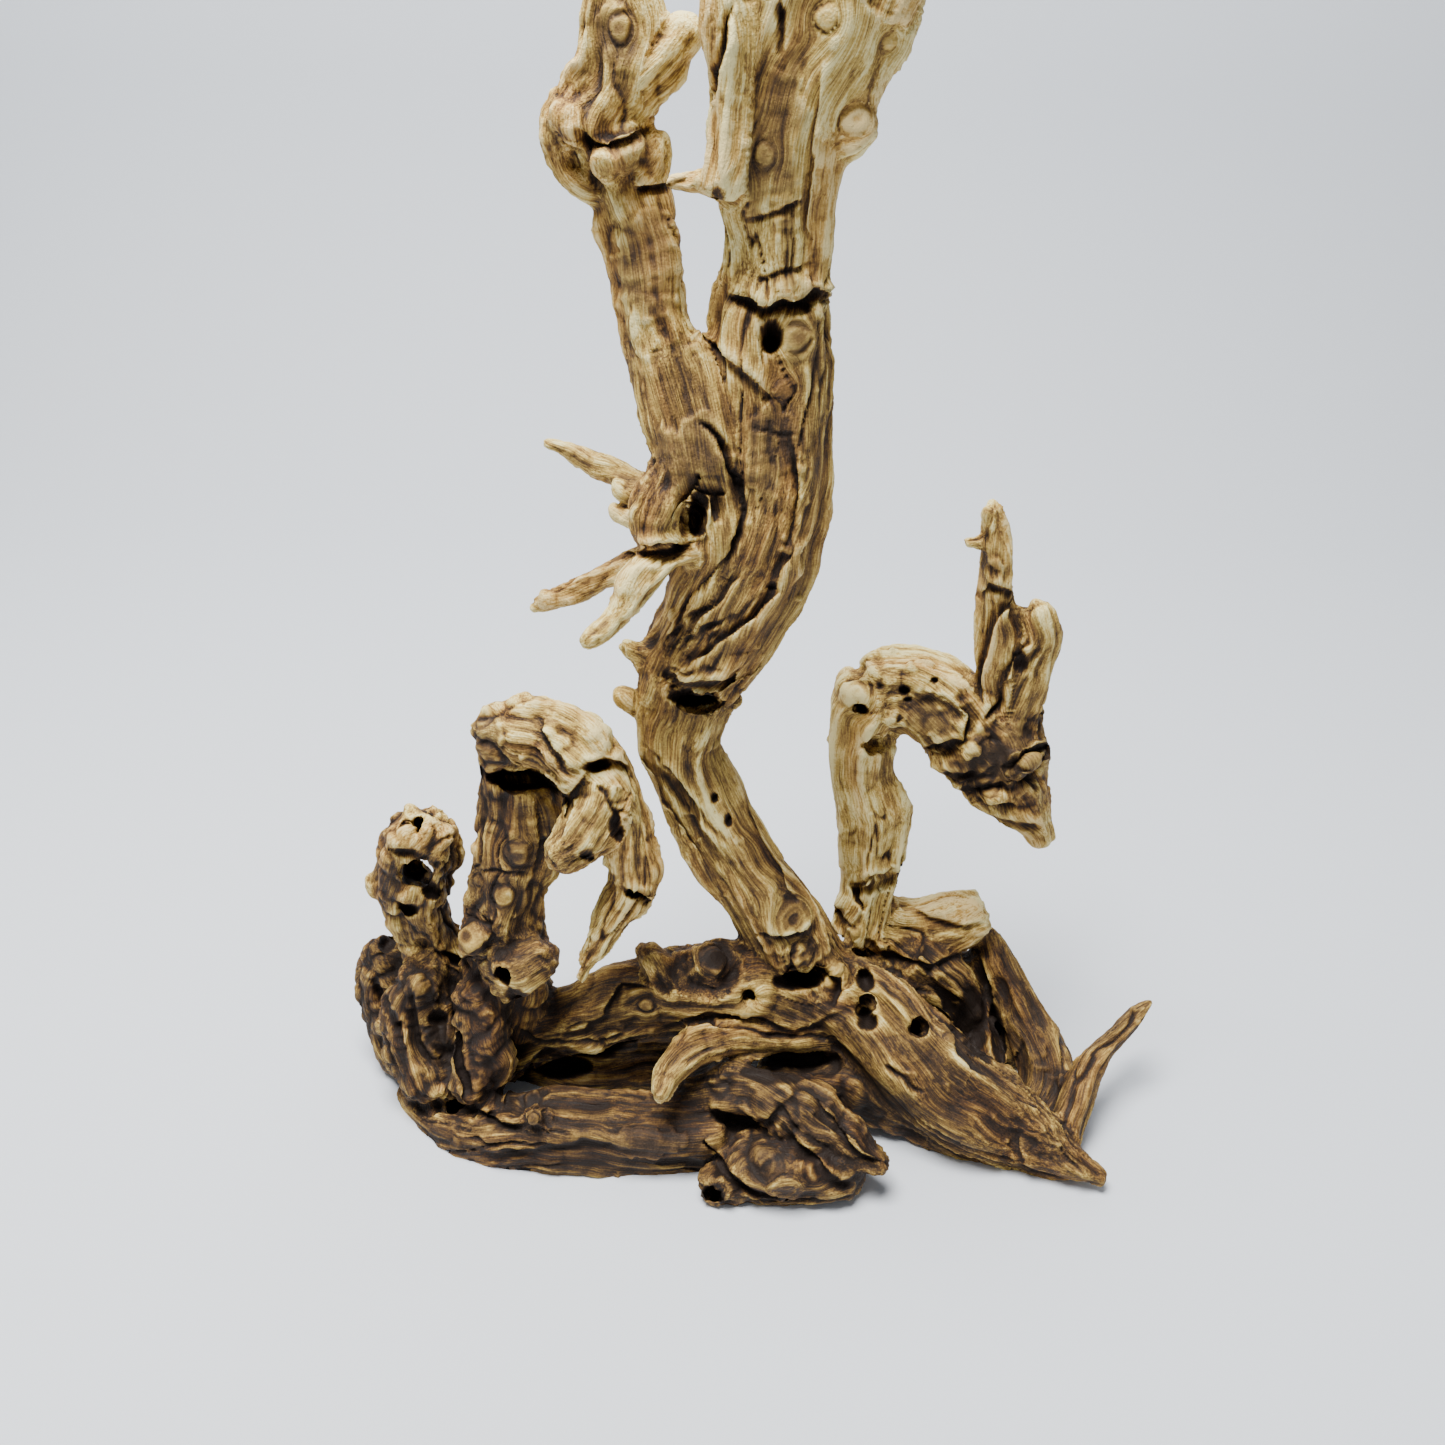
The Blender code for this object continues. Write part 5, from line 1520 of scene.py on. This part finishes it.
def bare_colour(tree, sources, colours):
    """From near-black brown in the cracks, which is painted shade, to straw on the ridges, which are worn
    pale and lifted by a painted highlight, flushed red in long streaks.
    """
    first = -sum(PATTERN_WEIGHTS.values()) / 2
    level = weighted_sum(tree, sources, first, {**PATTERN_WEIGHTS, **TONE_WEAR_AND_SHADE_WEIGHTS})
    level = weighted_sum(tree, sources, level, {"bark_amount": BARK_STAIN})
    ramp = add_node(tree, "ShaderNodeValToRGB", {"Fac": level})
    while len(ramp.color_ramp.elements) < len(WOOD_TONES):
        ramp.color_ramp.elements.new(0.5)
    for element, (name, position) in zip(ramp.color_ramp.elements, WOOD_TONES):
        element.position = position
        element.color = (*getattr(colours, name), 1.0)
    flush = add_node(tree, "ShaderNodeMapRange", {"Value": sources["flushed"], "From Min": 0.45,
                                                  "From Max": 0.62, "To Min": 0.0, "To Max": FLUSH_SHARE})
    return add_node(tree, "ShaderNodeMix", {0: flush.outputs[0], 6: ramp.outputs["Color"], 7: FLUSH},
                    data_type="RGBA", blend_type="MULTIPLY").outputs[2]


def weathered_wood(name):
    """Bare root wood, dried and washed: pale ridges, worn and with a painted highlight, near-black cracks of
    painted shade, and a dull satin surface.
    """
    colours = bpy.context.scene.coral_wood_colours
    material = bpy.data.materials.new(name)
    material.use_nodes = True
    tree = material.node_tree
    tree.nodes.clear()
    sources = wood_sources(tree)
    sources["bark_amount"] = bark_amount(tree, sources)
    wood_colour = bare_colour(tree, sources, colours)
    # Bark is darker in its hollows, as painted shade, and where its grit is low
    bark_level = weighted_sum(tree, sources, BARK_DARKEST, BARK_WEIGHTS)
    hollow_bark = [part * BARK_HOLLOW for part in colours.bark]
    bark_colour = add_node(tree, "ShaderNodeMix", {0: bark_level, 6: (*hollow_bark, 1.0),
                                                   7: (*colours.bark, 1.0)}, data_type="RGBA").outputs[2]
    cover = weighted_sum(tree, sources, 0.0, {"bark_amount": BARK_COVER})
    surface = add_node(tree, "ShaderNodeMix", {0: cover, 6: wood_colour, 7: bark_colour},
                       data_type="RGBA").outputs[2]

    height = weighted_sum(tree, sources, 0.0, BUMP_WEIGHTS)
    bump = add_node(tree, "ShaderNodeBump", {"Height": height, "Strength": 1.0,
                                             "Distance": BUMP_HEIGHT * MM}).outputs[0]
    roughness = add_node(tree, "ShaderNodeMapRange", {"Value": sources["fibres"], "From Min": 0.3,
                                                      "From Max": 0.7, "To Min": 0.62, "To Max": 0.86})
    shader = add_node(tree, "ShaderNodeBsdfPrincipled",
                      {"Base Color": surface, "Roughness": roughness.outputs[0], "Normal": bump, "IOR": 1.5,
                       "Specular IOR Level": 0.35})
    add_node(tree, "ShaderNodeOutputMaterial", {"Surface": shader.outputs[0]})
    return material


def finish_limbs(nodes):
    """Gives the named limbs their finish, and puts each in the place of its CAD node."""
    for node in nodes:
        piece = bpy.data.objects.get(f"{node}_wood")
        if piece is None:
            raise RuntimeError(f"{node}: the wood has to be grown first")
        slot = LIMBS[node][1]
        name = f"weathered_{slot}"
        material = bpy.data.materials.get(name) or weathered_wood(name)
        piece.data.materials.clear()
        piece.data.materials.append(material)
        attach(piece, BODY)
        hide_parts(node)


class CORALWOOD_OT_grow(Operator):
    """Grow the whole wood, wear it and part it at its forks"""

    bl_idname = "coral_wood.grow"
    bl_label = "Grow the wood"

    def execute(self, context):
        sizes = context.scene.coral_wood_sizes
        wood = grow_limbs(sizes)
        wear_wood(wood, sizes)
        wood.data.shade_smooth()
        cut_forks(wood)
        part_limbs(wood)
        return {"FINISHED"}


class CORALWOOD_OT_trunk(Operator):
    """Finish the trunk, its crown and its left fork"""

    bl_idname = "coral_wood.trunk"
    bl_label = "Trunk"

    def execute(self, context):
        finish_limbs(("trunk", "crown", "left_fork"))
        return {"FINISHED"}


class CORALWOOD_OT_arch(Operator):
    """Finish the arch and the horn that stands on it"""

    bl_idname = "coral_wood.arch"
    bl_label = "Arch"

    def execute(self, context):
        finish_limbs(("arch_leg", "arch_head", "horn"))
        return {"FINISHED"}


class CORALWOOD_OT_roots(Operator):
    """Finish the foot, the roots and the logs that lie on the ground"""

    bl_idname = "coral_wood.roots"
    bl_label = "Roots"

    def execute(self, context):
        finish_limbs(("foot", "right_root", "middle_log", "front_log"))
        return {"FINISHED"}


class CORALWOOD_OT_towers(Operator):
    """Finish the left burl, its two towers and the crest"""

    bl_idname = "coral_wood.towers"
    bl_label = "Towers"

    def execute(self, context):
        finish_limbs(("left_burl", "small_tower", "tower", "crest"))
        return {"FINISHED"}


def plain_material(name, tint, roughness):
    material = bpy.data.materials.new(name)
    material.use_nodes = True
    shader = material.node_tree.nodes["Principled BSDF"]
    shader.inputs["Base Color"].default_value = (*tint, 1.0)
    shader.inputs["Roughness"].default_value = roughness
    return material


# The stage, in metres
FLOOR_SIDE = 3.0
BACKDROP_DISTANCE = 0.75
BACKDROP_HEIGHT = 1.6
BACKDROP_ROUND = 0.25
LAMP_SIDE = 0.55
LAMP_PLACE = (-0.2, -0.12, 1.2)
LAMP_AIM = (0.0, 0.0, 0.18)


class CORALWOOD_OT_stage(Operator):
    """Set up the floor, the light and the camera"""

    bl_idname = "coral_wood.stage"
    bl_label = "Stage"

    def execute(self, context):
        stage = context.scene.coral_wood_stage
        make_floor(stage)
        make_light(context.scene, stage)
        make_camera(context.scene)
        return {"FINISHED"}


def make_floor(stage):
    """A floor that turns up into a backdrop behind the wood."""
    deselect_all()
    bpy.ops.mesh.primitive_plane_add(size=FLOOR_SIDE, location=(0, BACKDROP_DISTANCE - FLOOR_SIDE / 2, 0))
    floor = bpy.context.active_object
    floor.name = "floor"
    bpy.ops.object.mode_set(mode="EDIT")
    bpy.ops.mesh.select_mode(type="EDGE")
    bpy.ops.mesh.select_all(action="DESELECT")
    bpy.ops.object.mode_set(mode="OBJECT")
    for edge in floor.data.edges:
        edge.select = all(floor.data.vertices[index].co.y > 0 for index in edge.vertices)
    bpy.ops.object.mode_set(mode="EDIT")
    bpy.ops.mesh.extrude_region_move(TRANSFORM_OT_translate={"value": (0, 0, BACKDROP_HEIGHT)})
    bpy.ops.object.mode_set(mode="OBJECT")
    bpy.ops.object.transform_apply(location=True, rotation=True, scale=True)
    apply_modifier(floor, "BEVEL", width=BACKDROP_ROUND, segments=12, limit_method="ANGLE")
    floor.data.shade_smooth()
    floor.data.materials.append(plain_material("matt_floor", stage.floor, 0.9))


def make_light(scene, stage):
    """One wide lamp overhead and to the front, and a soft light from all round."""
    world = bpy.data.worlds.new("soft_light")
    world.use_nodes = True
    background = world.node_tree.nodes["Background"]
    background.inputs["Color"].default_value = (*stage.sky, 1.0)
    background.inputs["Strength"].default_value = stage.sky_strength
    scene.world = world
    deselect_all()
    bpy.ops.object.light_add(type="AREA", location=LAMP_PLACE)
    lamp = bpy.context.active_object
    lamp.name = "lamp"
    lamp.data.size = LAMP_SIDE
    lamp.data.energy = stage.lamp_power
    lamp.rotation_euler = (Vector(LAMP_AIM) - Vector(LAMP_PLACE)).to_track_quat("-Z", "Y").to_euler()


def make_camera(scene):
    """The camera where the photograph was taken."""
    right, up, forward = camera_axes()
    deselect_all()
    bpy.ops.object.camera_add()
    camera = bpy.context.active_object
    camera.name = "camera"
    turn = Matrix(np.column_stack([right, up, -forward]).tolist()).to_4x4()
    camera.matrix_world = Matrix.Translation(Vector((CAMERA_PLACE - FOOTPRINT_MIDDLE) * MM)) @ turn
    camera.data.sensor_width = SENSOR
    camera.data.lens = SENSOR * FOCAL_PIXELS / PHOTO_SIDE
    camera.data.clip_start = 0.01
    scene.camera = camera


class CORALWOOD_PT_panel(Panel):
    """Lists the steps that make the coral wood"""

    bl_label = "Coral wood"
    bl_idname = "CORALWOOD_PT_panel"
    bl_space_type = "VIEW_3D"
    bl_region_type = "UI"
    bl_category = "Coral wood"

    def draw(self, context):
        scene = context.scene
        for settings in (scene.coral_wood_sizes, scene.coral_wood_colours, scene.coral_wood_stage):
            box = self.layout.box()
            for name in settings.__annotations__:
                box.prop(settings, name)
        for operator in OPERATORS:
            self.layout.operator(operator.bl_idname)


OPERATORS = (CORALWOOD_OT_grow, CORALWOOD_OT_trunk, CORALWOOD_OT_arch, CORALWOOD_OT_roots,
             CORALWOOD_OT_towers, CORALWOOD_OT_stage)
CLASSES = (CoralWoodSizes, CoralWoodColours, CoralWoodStage, *OPERATORS, CORALWOOD_PT_panel)


def register():
    for cls in CLASSES:
        bpy.utils.register_class(cls)
    bpy.types.Scene.coral_wood_sizes = PointerProperty(type=CoralWoodSizes)
    bpy.types.Scene.coral_wood_colours = PointerProperty(type=CoralWoodColours)
    bpy.types.Scene.coral_wood_stage = PointerProperty(type=CoralWoodStage)


def unregister():
    del bpy.types.Scene.coral_wood_sizes
    del bpy.types.Scene.coral_wood_colours
    del bpy.types.Scene.coral_wood_stage
    for cls in reversed(CLASSES):
        bpy.utils.unregister_class(cls)


def main():
    register()
    bpy.ops.coral_wood.grow()
    bpy.ops.coral_wood.trunk()
    bpy.ops.coral_wood.arch()
    bpy.ops.coral_wood.roots()
    bpy.ops.coral_wood.towers()
    bpy.ops.coral_wood.stage()


if __name__ == "__main__":
    main()
